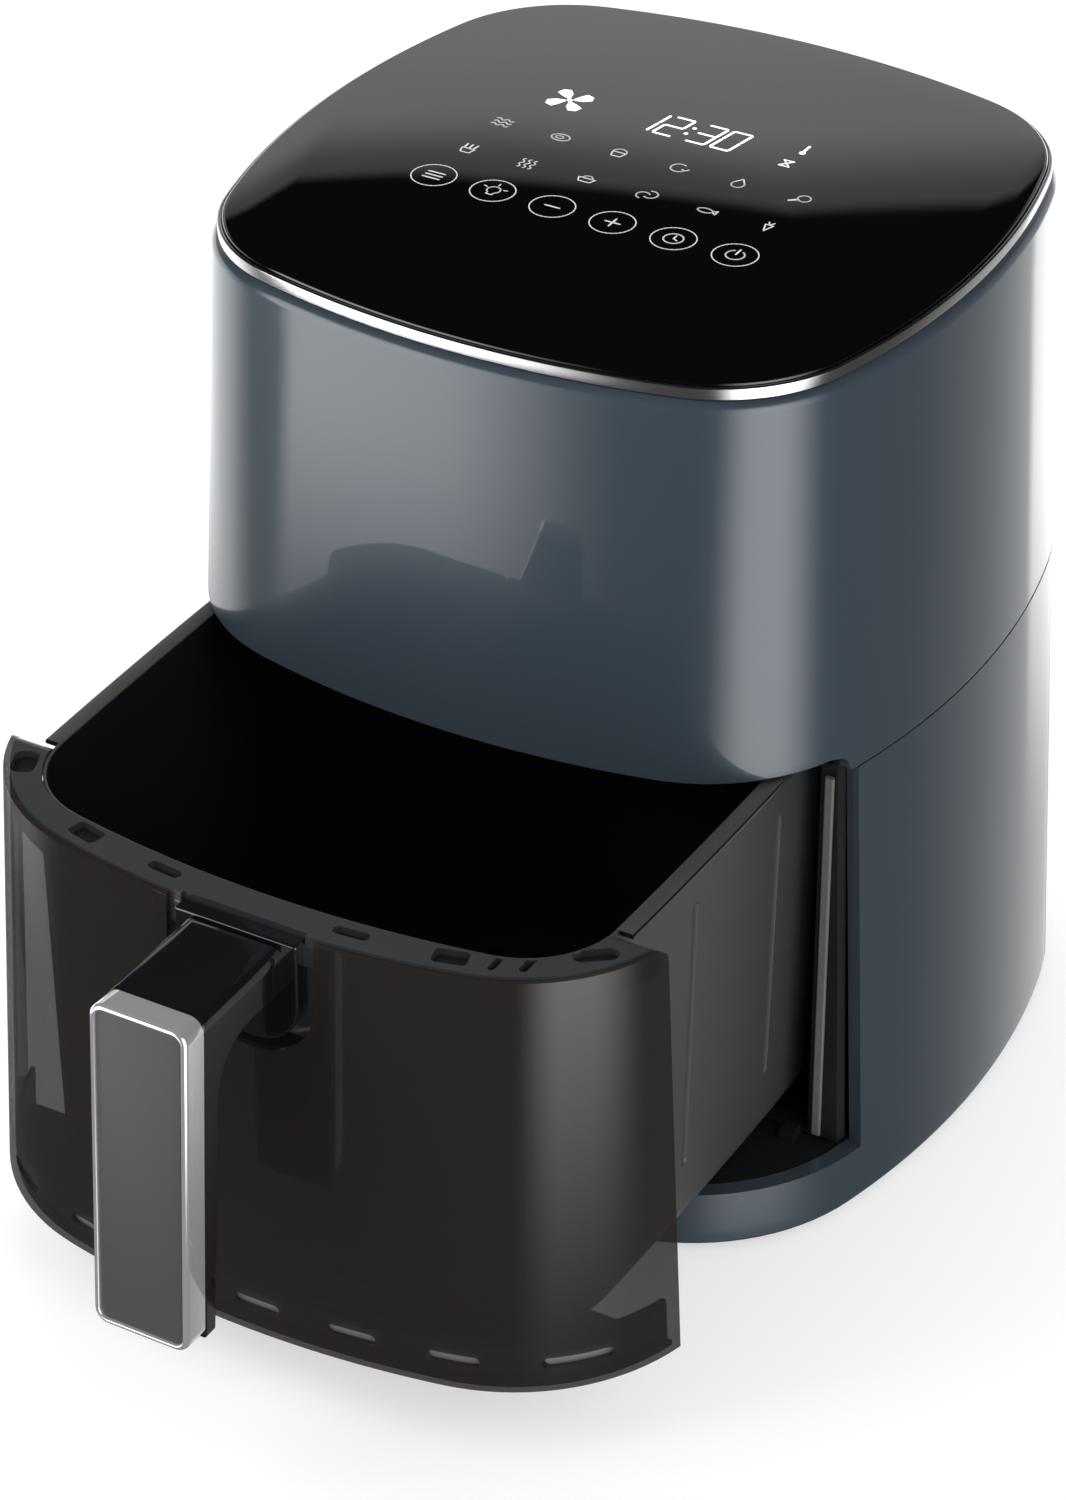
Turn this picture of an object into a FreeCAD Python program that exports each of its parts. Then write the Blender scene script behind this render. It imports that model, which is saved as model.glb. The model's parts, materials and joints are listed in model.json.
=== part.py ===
import FreeCAD, Part
import math
import os
import re
import Sketcher

# Air fryer with a pull-out basket. Millimetres, +Z up, the drawer opens towards -Y.
# The origin is on the worktop, under the middle of the whole appliance with its drawer out.
# Every piece is drawn about the middle of the housing and then moved back by origin_y.
# Pieces on the drawer are drawn in their closed place and also moved out by drawer_out.

os.makedirs("parts", exist_ok=True)
doc = FreeCAD.newDocument("air_fryer")
dims = doc.addObject("Spreadsheet::Sheet", "dims")

SIZES = [
    # housing outline: four large arcs joined by four corner arcs, wider at the base
    ("base_z", 3), ("top_z", 315),
    ("base_half_x", 134.5), ("base_half_y", 135.2),
    ("base_side_r", 292.5), ("base_front_r", 334.6), ("base_corner_r", 73.2),
    ("top_half_x", 120.6), ("top_half_y", 119.6),
    ("top_side_r", 279.6), ("top_front_r", 290), ("top_corner_r", 53.5),
    # housing levels and walls
    ("wall", 3), ("cheek", 5), ("cheek_base", 6.9), ("cheek_top", 3.6),
    ("seam_z", 171), ("seam_gap", 0.4), ("shoulder_z", 309.5), ("shoulder_r", 4),
    ("base_edge_r", 1.5), ("sill_lip", 6),
    ("sill_z", 23), ("visor_z", 178.5), ("opening_y", 72.5), ("opening_corner_r", 8),
    ("return_depth", 3.5), ("reach", 220),
    # top panel
    ("ring_inset", 1.5), ("ring_wall", 1.4), ("ring_z", 309.8), ("ring_top_z", 313.5),
    ("ring_flange", 1.2), ("glass_inset", 3), ("glass_z", 311.1), ("glass_edge_r", 1.3),
    ("carrier_inset", 6.3), ("carrier_z", 305.1), ("board_z", 298),
    # base
    ("plate_inset", 3.3), ("plate_z", 4), ("plate_top_z", 6.5),
    ("foot_x", 92), ("foot_y", 90), ("foot_r", 10), ("stem_r", 3.8),
    ("boss_x", 50), ("boss_y", 108),
    # opening and cooking chamber
    ("frame_y", 71.5), ("frame_depth", 4), ("frame_half_x", 106.8),
    ("frame_low_z", 24.6), ("frame_high_z", 179.6),
    ("strip_x", 108.8), ("strip_wide", 3.1), ("strip_top_z", 166),
    ("liner_half_x", 109.4), ("liner_back_y", 104.6), ("liner_front_y", 67.3),
    ("liner_z", 23.4), ("liner_top_z", 181.8), ("liner_r", 32), ("sheet", 1),
    ("ceiling_z", 182), ("ceiling_top_z", 183.4), ("ceiling_hole_r", 90),
    ("lamp_x", 84), ("lamp_y", 80),
    # heater, fan and motor
    ("dome_r", 91), ("dome_top_z", 214), ("element_z", 200), ("tube_r", 3.2),
    ("element_outer_r", 80), ("element_inner_r", 64), ("guard_z", 187),
    ("shaft_r", 4), ("shaft_bore_r", 4.06), ("fan_z", 196), ("fan_r", 50),
    ("bracket_half_x", 102.5), ("bracket_half_y", 22), ("bracket_top_z", 225.5),
    ("motor_r", 30), ("motor_top_z", 262), ("cooler_z", 268), ("cooler_r", 42),
    # rear outlet and cord gland
    ("outlet_half_x", 40), ("outlet_z", 192), ("outlet_top_z", 232),
    ("gland_x", 60), ("gland_z", 45),
    # door switch
    ("plunger_x", 110.1), ("plunger_z", 170.5), ("plunger_r", 1.6), ("plunger_bore_r", 1.66),
    # drawer
    ("origin_y", 82.7), ("drawer_out", 116.4),
    ("cover_y", 74), ("cover_z", 26.5), ("cover_top_z", 176.5),
    ("cover_wall", 2), ("cover_corner_r", 4), ("fit", 0.2),
    ("flange_z", 174.5), ("flange_top_z", 177.5), ("flange_end_r", 6), ("skirt_z", 166.5),
    ("vent_z", 37), ("vent_pitch", 33), ("vent_wide", 16.5), ("vent_high", 4),
    # basket: slightly tapered pan with its middle behind the middle of the housing
    ("pan_y", -9.15), ("pan_z", 29), ("pan_top_z", 177), ("pan_wall", 1.2),
    ("pan_base_half_x", 98), ("pan_base_half_y", 99.4), ("pan_base_corner_r", 30),
    ("pan_top_half_x", 101.4), ("pan_top_half_y", 102.35), ("pan_top_corner_r", 33),
    ("pan_side_r", 2600), ("pan_front_r", 390), ("pan_edge_r", 9),
    ("rim_wide", 4.8), ("rim_thick", 1.7),
    ("window_half_x", 78), ("window_z", 50), ("window_top_z", 163),
    ("groove_r", 3.4), ("groove_deep", 0.9), ("groove_z", 57), ("groove_top_z", 156),
    ("bead_wall", 1),
    # handle
    ("boss_half_x", 21.5), ("boss_z", 137.5), ("boss_top_z", 176), ("boss_r", 16),
    ("boss_gap", 4.5), ("boss_back_y", 122.05), ("boss_front_y", 128.3),
    ("arm_half_x", 17), ("arm_z", 159), ("arm_top_z", 175.5), ("arm_edge_r", 5),
    ("grip_z", 60), ("grip_lean", 3.4), ("grip_mid_z", 117.6), ("grip_mid_y", 174.1),
    ("grip_back", 6), ("trim_deep", 9.5), ("trim_wall", 2), ("trim_r", 4),
    # crisper plate
    ("crisper_z", 36), ("crisper_thick", 1.2), ("crisper_inset", 5.2), ("crisper_foot", 76),
]
for row, (alias, number) in enumerate(SIZES, start=1):
    dims.set(f"A{row}", alias.replace("_", " "))
    dims.set(f"B{row}", str(number))
    dims.setAlias(f"B{row}", alias)
doc.recompute()
ALIASES = {alias for alias, number in SIZES}


def ref(text):
    """An expression with each sheet name pointed at the sheet."""
    return re.sub(r"[a-z][a-z_]*", lambda m: "dims." + m[0] if m[0] in ALIASES else m[0], str(text))


def num(text):
    return float(dims.evalExpression(ref(text)))


def bind(obj, prop, text):
    obj.setExpression(prop, ref(text))


y_places = {}  # where along Y each moved sub-part stands before it is stored


# ---------------------------------------------------------------- plain solids
def box(name, x, y, z):
    """A block between the pairs of planes x, y and z."""
    block = doc.addObject("Part::Box", name)
    for side, axis, (low, high) in (("Length", "x", x), ("Width", "y", y), ("Height", "z", z)):
        bind(block, side, f"({high}) - ({low})")
        bind(block, f"Placement.Base.{axis}", low)
    return block


def rod(name, radius, z, x="0", y="0"):
    """An upright cylinder between the two levels in z."""
    bar = doc.addObject("Part::Cylinder", name)
    bind(bar, "Radius", radius)
    bind(bar, "Height", f"({z[1]}) - ({z[0]})")
    bind(bar, "Placement.Base.x", x)
    bind(bar, "Placement.Base.y", y)
    bind(bar, "Placement.Base.z", z[0])
    return bar


def rod_along_y(name, radius, y, x, z):
    """A cylinder that runs along Y between the two places in y."""
    bar = doc.addObject("Part::Cylinder", name)
    y_places[name] = y[0]
    bar.Placement.Rotation = FreeCAD.Rotation(FreeCAD.Vector(1, 0, 0), -90)
    bind(bar, "Radius", radius)
    bind(bar, "Height", f"({y[1]}) - ({y[0]})")
    bind(bar, "Placement.Base.x", x)
    bind(bar, "Placement.Base.y", y[0])
    bind(bar, "Placement.Base.z", z)
    return bar


def join(name, shapes):
    made = doc.addObject("Part::MultiFuse", name)
    made.Shapes = shapes
    return made


def cut(name, base, tool):
    made = doc.addObject("Part::Cut", name)
    made.Base = base
    made.Tool = tool
    return made


def common(name, base, tool):
    made = doc.addObject("Part::Common", name)
    made.Base = base
    made.Tool = tool
    return made


def rounded(name, base, radius, wanted):
    """Round the edges of base whose middle satisfies wanted."""
    doc.recompute()
    made = doc.addObject("Part::Fillet", name)
    made.Base = base
    size = num(radius)
    edges = []
    for index, edge in enumerate(base.Shape.Edges, start=1):
        middle = edge.valueAt((edge.FirstParameter + edge.LastParameter) / 2)
        if wanted(middle, edge):
            edges.append((index, size, size))
    made.Edges = edges
    return made


# ---------------------------------------------------------------- sketches
def body(name):
    return doc.addObject("PartDesign::Body", name)


def sketch_in(owner, name, plane="XY_Plane", up="0"):
    """A sketch on one of the body's own planes, lifted along its normal."""
    made = owner.newObject("Sketcher::SketchObject", name)
    for feature in owner.Origin.OriginFeatures:
        if feature.Role == plane:
            made.AttachmentSupport = [(feature, "")]
    made.MapMode = "FlatFace"
    bind(made, "AttachmentOffset.Base.z", up)
    return made


def named(sketch, constraint, text):
    """Add a sized constraint and bind it to the sheet."""
    index = sketch.addConstraint(constraint)
    sketch.renameConstraint(index, f"size_{index}")
    bind(sketch, f"Constraints.size_{index}", text)


def pin(sketch, geometry, point, x, y):
    """Hold a point of the sketch at the place (x, y)."""
    for kind, axis, text in (("DistanceX", -2, x), ("DistanceY", -1, y)):
        value = num(text)
        if abs(value) < 1e-9:
            sketch.addConstraint(Sketcher.Constraint("PointOnObject", geometry, point, axis))
        elif value > 0:
            named(sketch, Sketcher.Constraint(kind, -1, 1, geometry, point, value), text)
        else:
            named(sketch, Sketcher.Constraint(kind, geometry, point, -1, 1, -value), f"-({text})")


def arc(centre, radius, start, end):
    circle = Part.Circle(FreeCAD.Vector(centre[0], centre[1], 0), FreeCAD.Vector(0, 0, 1), radius)
    return Part.ArcOfCircle(circle, start, end)


def draw_circle(sketch, radius, x="0", y="0"):
    centre = FreeCAD.Vector(num(x), num(y), 0)
    index = sketch.addGeometry(Part.Circle(centre, FreeCAD.Vector(0, 0, 1), num(radius)), False)
    named(sketch, Sketcher.Constraint("Radius", index, num(radius)), radius)
    pin(sketch, index, 3, x, y)


def draw_polygon(sketch, points):
    """A closed outline through the points, each one held in place."""
    spots = [FreeCAD.Vector(num(x), num(y), 0) for x, y in points]
    first = sketch.GeometryCount
    for here, there in zip(spots, spots[1:] + spots[:1]):
        sketch.addGeometry(Part.LineSegment(here, there), False)
    for step in range(len(points)):
        following = first + (step + 1) % len(points)
        sketch.addConstraint(Sketcher.Constraint("Coincident", first + step, 2, following, 1))
    for step, (x, y) in enumerate(points):
        pin(sketch, first + step, 1, x, y)


def draw_rectangle(sketch, half_x, half_y, radius, x="0", y="0"):
    """A rectangle with rounded corners about the place (x, y)."""
    size = num(radius)
    reach_x = num(half_x) - size
    reach_y = num(half_y) - size
    middle_x = num(x)
    middle_y = num(y)
    first = sketch.GeometryCount
    corners = ((1, -1), (1, 1), (-1, 1), (-1, -1))
    arcs = []
    for turn, (side_x, side_y) in enumerate(corners):
        start = math.pi / 2 * (turn - 1)
        centre = (middle_x + side_x * reach_x, middle_y + side_y * reach_y)
        arcs.append(arc(centre, size, start, start + math.pi / 2))
    for turn, piece in enumerate(arcs):
        following = arcs[(turn + 1) % 4]
        sketch.addGeometry(piece, False)
        sketch.addGeometry(Part.LineSegment(piece.EndPoint, following.StartPoint), False)
    for turn, (side_x, side_y) in enumerate(corners):
        corner = first + 2 * turn
        named(sketch, Sketcher.Constraint("Radius", corner, size), radius)
        pin(sketch, corner, 3, f"({x}) + {side_x} * (({half_x}) - ({radius}))",
            f"({y}) + {side_y} * (({half_y}) - ({radius}))")
        following = first + (2 * turn + 2) % 8
        sketch.addConstraint(Sketcher.Constraint("Tangent", corner, 2, corner + 1, 1))
        sketch.addConstraint(Sketcher.Constraint("Tangent", corner + 1, 2, following, 1))


def draw_bulged(sketch, half_x, half_y, side_r, front_r, corner_r):
    """Four large arcs joined by four tangent corner arcs."""
    reach_x = num(half_x)
    reach_y = num(half_y)
    side = num(side_r)
    front = num(front_r)
    corner = num(corner_r)
    # the corner centre lies where circles about the two large centres cross
    gap_x = reach_x - side
    gap_y = reach_y - front
    span = math.hypot(gap_x, gap_y)
    along = ((side - corner) ** 2 - (front - corner) ** 2 + span ** 2) / (2 * span)
    across = math.sqrt((side - corner) ** 2 - along ** 2)
    toward = (-gap_x / span, gap_y / span)
    centre_x = gap_x + along * toward[0] + across * toward[1] * -1
    centre_y = along * toward[1] + across * toward[0]
    if centre_x < 0 or centre_y < 0:
        centre_x = gap_x + along * toward[0] + across * toward[1]
        centre_y = along * toward[1] - across * toward[0]
    side_turn = math.atan2(centre_y, centre_x - gap_x)
    front_turn = math.atan2(centre_y - gap_y, centre_x)
    first = sketch.GeometryCount
    quarter = math.pi / 2
    large = (((gap_x, 0), side, side_turn), ((0, gap_y), front, quarter - front_turn),
             ((-gap_x, 0), side, side_turn), ((0, -gap_y), front, quarter - front_turn))
    signs = ((1, 1), (-1, 1), (-1, -1), (1, -1))
    for turn in range(4):
        centre, radius, half_turn = large[turn]
        next_turn = large[(turn + 1) % 4][2]
        start = turn * quarter
        sketch.addGeometry(arc(centre, radius, start - half_turn, start + half_turn), False)
        place = (signs[turn][0] * centre_x, signs[turn][1] * centre_y)
        piece = arc(place, corner, start + half_turn, start + quarter - next_turn)
        sketch.addGeometry(piece, False)
    side_gap = f"({side_r}) - ({half_x})"
    front_gap = f"({front_r}) - ({half_y})"
    for turn in range(4):
        index = first + 2 * turn
        radius_text = side_r if turn % 2 == 0 else front_r
        named(sketch, Sketcher.Constraint("Radius", index, large[turn][1]), radius_text)
        named(sketch, Sketcher.Constraint("Radius", index + 1, corner), corner_r)
        following = first + (2 * turn + 2) % 8
        sketch.addConstraint(Sketcher.Constraint("Tangent", index, 2, index + 1, 1))
        sketch.addConstraint(Sketcher.Constraint("Tangent", index + 1, 2, following, 1))
    pin(sketch, first, 3, f"-({side_gap})", "0")
    pin(sketch, first + 2, 3, "0", f"-({front_gap})")
    pin(sketch, first + 4, 3, side_gap, "0")
    pin(sketch, first + 6, 3, "0", front_gap)


def pad(owner, sketch, name, length, both_ways=False):
    made = owner.newObject("PartDesign::Pad", name)
    made.Profile = sketch
    bind(made, "Length", length)
    made.Midplane = both_ways
    return made


def pocket(owner, sketch, name, depth, both_ways=False):
    made = owner.newObject("PartDesign::Pocket", name)
    made.Profile = sketch
    bind(made, "Length", depth)
    made.Midplane = both_ways
    return made


def revolve(owner, sketch, name, axis="V_Axis"):
    made = owner.newObject("PartDesign::Revolution", name)
    made.Profile = sketch
    made.ReferenceAxis = (sketch, [axis])
    made.Angle = 360
    return made


def ring_of(owner, feature, sketch, name, count):
    """Repeat a feature round the body's Z axis."""
    made = owner.newObject("PartDesign::PolarPattern", name)
    made.Originals = [feature]
    made.Axis = (sketch, ["N_Axis"])
    made.Angle = 360
    made.Occurrences = count
    owner.Tip = made
    return made


def round_edges(owner, name, radius, wanted):
    """Round the edges of the body's last feature whose middle satisfies wanted."""
    doc.recompute()
    base = owner.Tip
    names = []
    for index, edge in enumerate(base.Shape.Edges, start=1):
        middle = edge.valueAt((edge.FirstParameter + edge.LastParameter) / 2)
        if wanted(middle, edge):
            names.append(f"Edge{index}")
    made = owner.newObject("PartDesign::Fillet", name)
    made.Base = (base, names)
    bind(made, "Radius", radius)
    return made


def lift(obj, z, x="0", y="0"):
    """Put a sub-part at its place."""
    y_places[obj.Name] = y
    bind(obj, "Placement.Base.x", x)
    bind(obj, "Placement.Base.y", y)
    bind(obj, "Placement.Base.z", z)
    return obj


# ---------------------------------------------------------------- the two tapered outlines
def loft(name, low, high):
    made = doc.addObject("Part::Loft", name)
    made.Sections = [low, high]
    made.Solid = True
    made.Ruled = True
    return made


def loose_outline(name, sizes, inset, y, z):
    """An outline at the level z, drawn inside the given one by inset."""
    sketch = doc.addObject("Sketcher::SketchObject", name)
    draw_bulged(sketch, *[f"{text} - ({inset})" for text in sizes])
    lift(sketch, z, y=y)
    return sketch


BASE_OUTLINE = ("base_half_x", "base_half_y", "base_side_r", "base_front_r", "base_corner_r")
TOP_OUTLINE = ("top_half_x", "top_half_y", "top_side_r", "top_front_r", "top_corner_r")
PAN_BASE = ("pan_base_half_x", "pan_base_half_y", "pan_side_r", "pan_front_r", "pan_base_corner_r")
PAN_TOP = ("pan_top_half_x", "pan_top_half_y", "pan_side_r", "pan_front_r", "pan_top_corner_r")
housings = {}
pans = {}


def housing(inset, top_inset=None):
    """The flared shape of the housing, drawn in by inset, or by top_inset at its top."""
    key = (inset, top_inset or inset)
    if key not in housings:
        tag = f"housing_{len(housings)}"
        low = loose_outline(tag + "_base", BASE_OUTLINE, key[0], "0", "base_z")
        high = loose_outline(tag + "_top", TOP_OUTLINE, key[1], "0", "top_z")
        housings[key] = loft(tag, low, high)
    return housings[key]


def pan(inset):
    """The tapered shape of the basket, drawn in by inset."""
    if inset not in pans:
        tag = f"pan_{len(pans)}"
        low = loose_outline(tag + "_base", PAN_BASE, inset, "pan_y", "pan_z")
        high = loose_outline(tag + "_top", PAN_TOP, inset, "pan_y", "pan_top_z")
        pans[inset] = loft(tag, low, high)
    return pans[inset]


def slab(name, shape, z, y=("-reach", "reach"), x=("-reach", "reach")):
    """The part of a shape between the given planes."""
    return common(name, shape, box(name + "_limits", x, y, z))


def band(name, outer, inner, z, y=("-reach", "reach"), x=("-reach", "reach")):
    """A wall that follows the housing between two insets."""
    return slab(name, cut(name + "_wall", housing(outer), housing(inner)), z, y, x)


nodes = {}


def keep(label, obj, on_drawer=False):
    """Name a finished sub-part and store it. Drawer pieces are stored pulled out."""
    obj.Label = label
    travel = "drawer_out" if on_drawer else "0"
    bind(obj, "Placement.Base.y", f"{y_places.get(obj.Name, '0')} + origin_y - {travel}")
    nodes[label] = obj
    return obj


# ---------------------------------------------------------------- lower housing
low_top = "seam_z - seam_gap / 2"
lower_solid = slab("lower_solid", housing("0"), ("base_z", low_top))
lower_round = rounded("lower_round", lower_solid, "base_edge_r",
                      lambda middle, edge: middle.z < num("base_z") + 0.01)
lower_wall = cut("lower_wall", lower_round, housing("wall"))
sill = band("sill", "1", "sill_lip", ("sill_z - 2.5", "sill_z"), ("-reach", "-60.5"))
cheek_wall = cut("cheek_wall", housing("0.5"), housing("cheek_base", "cheek_top"))
cheeks = slab("cheeks", cheek_wall, ("sill_z - 0.5", low_top),
              ("-opening_y - 1", "return_depth - opening_y"))
lower_joined = join("lower_joined", [lower_wall, sill, cheeks])
front_opening = box("front_opening", ("-reach", "reach"), ("-reach", "-opening_y"), ("sill_z", "reach"))
gland_hole = rod_along_y("gland_hole", "7.9", ("110", "reach"), "-gland_x", "gland_z")
lower_tools = join("lower_tools", [front_opening, gland_hole])
keep("lower_housing", cut("lower_housing_cut", lower_joined, lower_tools))

tray_floor = slab("tray_floor", housing("sill_lip + 0.3"), ("sill_z - 2.5", "sill_z - 0.8"),
                  ("-reach", "-60.5"))
tray_stops = [box(f"tray_stop_{side + 2}", (f"{side} * 102 - 2.5", f"{side} * 102 + 2.5"),
                  ("-78", "-72"), ("sill_z - 1", "sill_z + 3.2")) for side in (-1, 1)]
keep("sill_tray", join("sill_tray_set", [tray_floor] + tray_stops))

# ---------------------------------------------------------------- upper housing
upper_solid = slab("upper_solid", housing("0"), ("seam_z + seam_gap / 2", "shoulder_z"))
upper_round = rounded("upper_round", upper_solid, "shoulder_r",
                      lambda middle, edge: middle.z > num("shoulder_z") - 0.01)
hollow = slab("upper_hollow", housing("wall"), ("base_z", "303.5"))
ledge_hole = slab("ledge_hole", housing("9"), ("300", "306"))
carrier_hole = slab("carrier_hole", housing("carrier_inset - 0.3"), ("305", "top_z"))
upper_tools = join("upper_tools", [hollow, ledge_hole, carrier_hole])
upper_wall = cut("upper_wall", upper_round, upper_tools)
visor = band("visor", "0.5", "cheek", ("seam_z + seam_gap / 2", "visor_z + 3"),
             ("-reach", "return_depth - opening_y"))
upper_joined = join("upper_joined", [upper_wall, visor])
visor_block = box("visor_block", ("-reach", "reach"), ("-reach", "-opening_y"), ("0", "visor_z"))
visor_tool = rounded("visor_tool", visor_block, "opening_corner_r",
                     lambda middle, edge: abs(middle.z - num("visor_z")) < 0.01
                     and abs(middle.y + num("opening_y")) < 0.01)
outlet_hole = box("outlet_hole", ("-outlet_half_x", "outlet_half_x"), ("100", "reach"),
                  ("outlet_z", "outlet_top_z"))
upper_openings = join("upper_openings", [visor_tool, outlet_hole])
keep("upper_housing", cut("upper_housing_cut", upper_joined, upper_openings))

# ---------------------------------------------------------------- base plate and feet
plate = slab("plate", housing("plate_inset"), ("plate_z", "plate_top_z"))
FEET = ((1, 1), (-1, 1), (-1, -1), (1, -1))
plate_bosses = []
plate_holes = []
screws = []
for count, (side_x, side_y) in enumerate(FEET, start=1):
    foot_place = (f"{side_x} * foot_x", f"{side_y} * foot_y")
    boss_place = (f"{side_x} * boss_x", f"{side_y} * boss_y")
    plate_bosses.append(rod(f"plate_boss_{count}", "4.5", ("plate_top_z - 1", "15"), *boss_place))
    plate_holes.append(rod(f"stem_hole_{count}", "stem_r + 0.2", ("0", "20"), *foot_place))
    plate_holes.append(rod(f"screw_hole_{count}", "1.8", ("0", "20"), *boss_place))
    screw_head = rod(f"screw_head_{count}", "3.4", ("3.2", "plate_z - 0.05"), *boss_place)
    screw_shank = rod(f"screw_shank_{count}", "1.6", ("3.5", "14"), *boss_place)
    screws.append(join(f"base_screw_{count}", [screw_head, screw_shank]))
    foot = body(f"foot_{count}")
    pad_sketch = sketch_in(foot, f"foot_{count}_pad")
    draw_circle(pad_sketch, "foot_r")
    pad(foot, pad_sketch, f"foot_{count}_disc", "plate_z - 0.1")
    stem_sketch = sketch_in(foot, f"foot_{count}_stem", up="plate_z - 0.1")
    draw_circle(stem_sketch, "stem_r")
    pad(foot, stem_sketch, f"foot_{count}_plug", "4.5")
    round_edges(foot, f"foot_{count}_edge", "1", lambda middle, edge: middle.z < 0.01)
    lift(foot, "0", *foot_place)
    keep(f"foot_{count}", foot)
for step in range(7):
    across = f"{step - 3} * 14"
    plate_holes.append(box(f"plate_slot_{step}", (f"{across} - 2.5", f"{across} + 2.5"),
                           ("-40", "40"), ("0", "20")))
plate_joined = join("plate_joined", [plate] + plate_bosses)
keep("base_plate", cut("base_plate_cut", plate_joined, join("plate_tools", plate_holes)))
keep("base_screws", join("base_screw_set", screws))


# ---------------------------------------------------------------- top panel
def top_outline(sketch, inset):
    draw_bulged(sketch, *[f"{text} - ({inset})" for text in TOP_OUTLINE])


ring = body("trim_ring")
ring_low = sketch_in(ring, "ring_flange_outline")
top_outline(ring_low, "ring_inset")
top_outline(ring_low, "carrier_inset + 0.7")
pad(ring, ring_low, "ring_flange_pad", "ring_flange")
ring_high = sketch_in(ring, "ring_band_outline", up="ring_flange")
top_outline(ring_high, "ring_inset")
top_outline(ring_high, "ring_inset + ring_wall")
pad(ring, ring_high, "ring_band", "ring_top_z - ring_z - ring_flange")
round_edges(ring, "ring_edge", "0.45",
            lambda middle, edge: middle.z > num("ring_top_z - ring_z") - 0.01)
keep("trim_ring", lift(ring, "ring_z"))

glass = body("glass_panel")
glass_sketch = sketch_in(glass, "glass_outline")
top_outline(glass_sketch, "glass_inset")
pad(glass, glass_sketch, "glass_sheet", "top_z - glass_z")
round_edges(glass, "glass_edge", "glass_edge_r",
            lambda middle, edge: middle.z > num("top_z - glass_z") - 0.01)
keep("glass_panel", lift(glass, "glass_z"))

carrier = body("panel_carrier")
carrier_sketch = sketch_in(carrier, "carrier_outline", up="1.9")
top_outline(carrier_sketch, "carrier_inset")
pad(carrier, carrier_sketch, "carrier_sheet", "2.7")
carrier_rim = sketch_in(carrier, "carrier_rim_outline")
top_outline(carrier_rim, "carrier_inset")
top_outline(carrier_rim, "8.6")
pad(carrier, carrier_rim, "carrier_rim", "2")
posts = sketch_in(carrier, "carrier_posts", up="-5.4")
for side_x, side_y in FEET:
    draw_circle(posts, "3", f"{side_x} * 66", f"{side_y} * 38")
pad(carrier, posts, "carrier_post_pads", "7.5")
keep("panel_carrier", lift(carrier, "carrier_z"))

board = box("board", ("-75", "75"), ("-46", "50"), ("board_z", "board_z + 1.6"))
chip = box("board_chip", ("-10", "10"), ("-8", "8"), ("board_z - 2", "board_z + 0.1"))
plug = box("board_plug", ("40", "58"), ("-30", "-22"), ("board_z - 6", "board_z + 0.1"))
keep("control_board", join("control_board_set", [board, chip, plug]))

display = body("display_module")
display_sketch = sketch_in(display, "display_outline")
draw_rectangle(display_sketch, "36", "13", "2")
pad(display, display_sketch, "display_case", "7")
keep("display_module", lift(display, "board_z + 1.7", y="35"))

# ---------------------------------------------------------------- opening and chamber
frame_block = slab("frame_block", housing("cheek_base + 0.2", "cheek_top + 0.2"),
                   ("sill_z + 0.3", "liner_top_z - 0.1"),
                   ("-frame_y", "frame_depth - frame_y"))
frame_hole = box("frame_hole", ("-frame_half_x", "frame_half_x"), ("-reach", "0"),
                 ("frame_low_z", "frame_high_z"))
plunger_pass = rod_along_y("plunger_pass", "plunger_bore_r", ("-80", "-60"), "plunger_x", "plunger_z")
frame_tools = join("frame_tools", [frame_hole, plunger_pass])
keep("opening_frame", cut("opening_frame_cut", frame_block, frame_tools))

for name, side in (("left", -1), ("right", 1)):
    strip = body(f"guide_strip_{name}")
    strip_sketch = sketch_in(strip, f"strip_{name}_outline")
    draw_rectangle(strip_sketch, "strip_wide / 2", "0.8", "0.6")
    pad(strip, strip_sketch, f"strip_{name}_bar", "strip_top_z - frame_low_z - 0.2")
    lift(strip, "frame_low_z + 0.2", f"{side} * (strip_x + strip_wide / 2)", "-frame_y - 0.9")
    keep(f"guide_strip_{name}", strip)
    rail = body(f"rail_{name}")
    rail_sketch = sketch_in(rail, f"rail_{name}_profile", "XZ_Plane")
    wall_x = f"{side} * 108.2"
    draw_polygon(rail_sketch, [(wall_x, "164"), (wall_x, "174.6"), (f"{side} * 104.2", "174.6"),
                               (f"{side} * 104.2", "172"), (f"{side} * 106.8", "172"),
                               (f"{side} * 106.8", "164")])
    pad(rail, rail_sketch, f"rail_{name}_bar", "112")
    keep(f"rail_{name}", lift(rail, "0", y="68"))

liner = body("chamber_liner")
liner_middle = "(liner_back_y - 120) / 2"
liner_half_y = "(liner_back_y + 120) / 2"
liner_sketch = sketch_in(liner, "liner_outline")
draw_rectangle(liner_sketch, "liner_half_x", liner_half_y, "liner_r", "0", liner_middle)
pad(liner, liner_sketch, "liner_block", "liner_top_z - liner_z")
liner_inside = sketch_in(liner, "liner_inside", up="liner_top_z - liner_z")
draw_rectangle(liner_inside, "liner_half_x - sheet", f"{liner_half_y} - sheet", "liner_r - sheet",
               "0", liner_middle)
pocket(liner, liner_inside, "liner_hollow", "liner_top_z - liner_z - sheet")
liner_mouth = sketch_in(liner, "liner_mouth", up="liner_top_z - liner_z")
draw_polygon(liner_mouth, [("-150", "-150"), ("150", "-150"), ("150", "-liner_front_y"),
                           ("-150", "-liner_front_y")])
pocket(liner, liner_mouth, "liner_front", "200")
switch_notch = sketch_in(liner, "switch_notch", up="175.8 - liner_z")
draw_polygon(switch_notch, [("104", "-80"), ("120", "-80"), ("120", "-49.7"), ("104", "-49.7")])
pocket(liner, switch_notch, "switch_notch_cut", "12.6")
keep("chamber_liner", lift(liner, "liner_z"))

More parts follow.
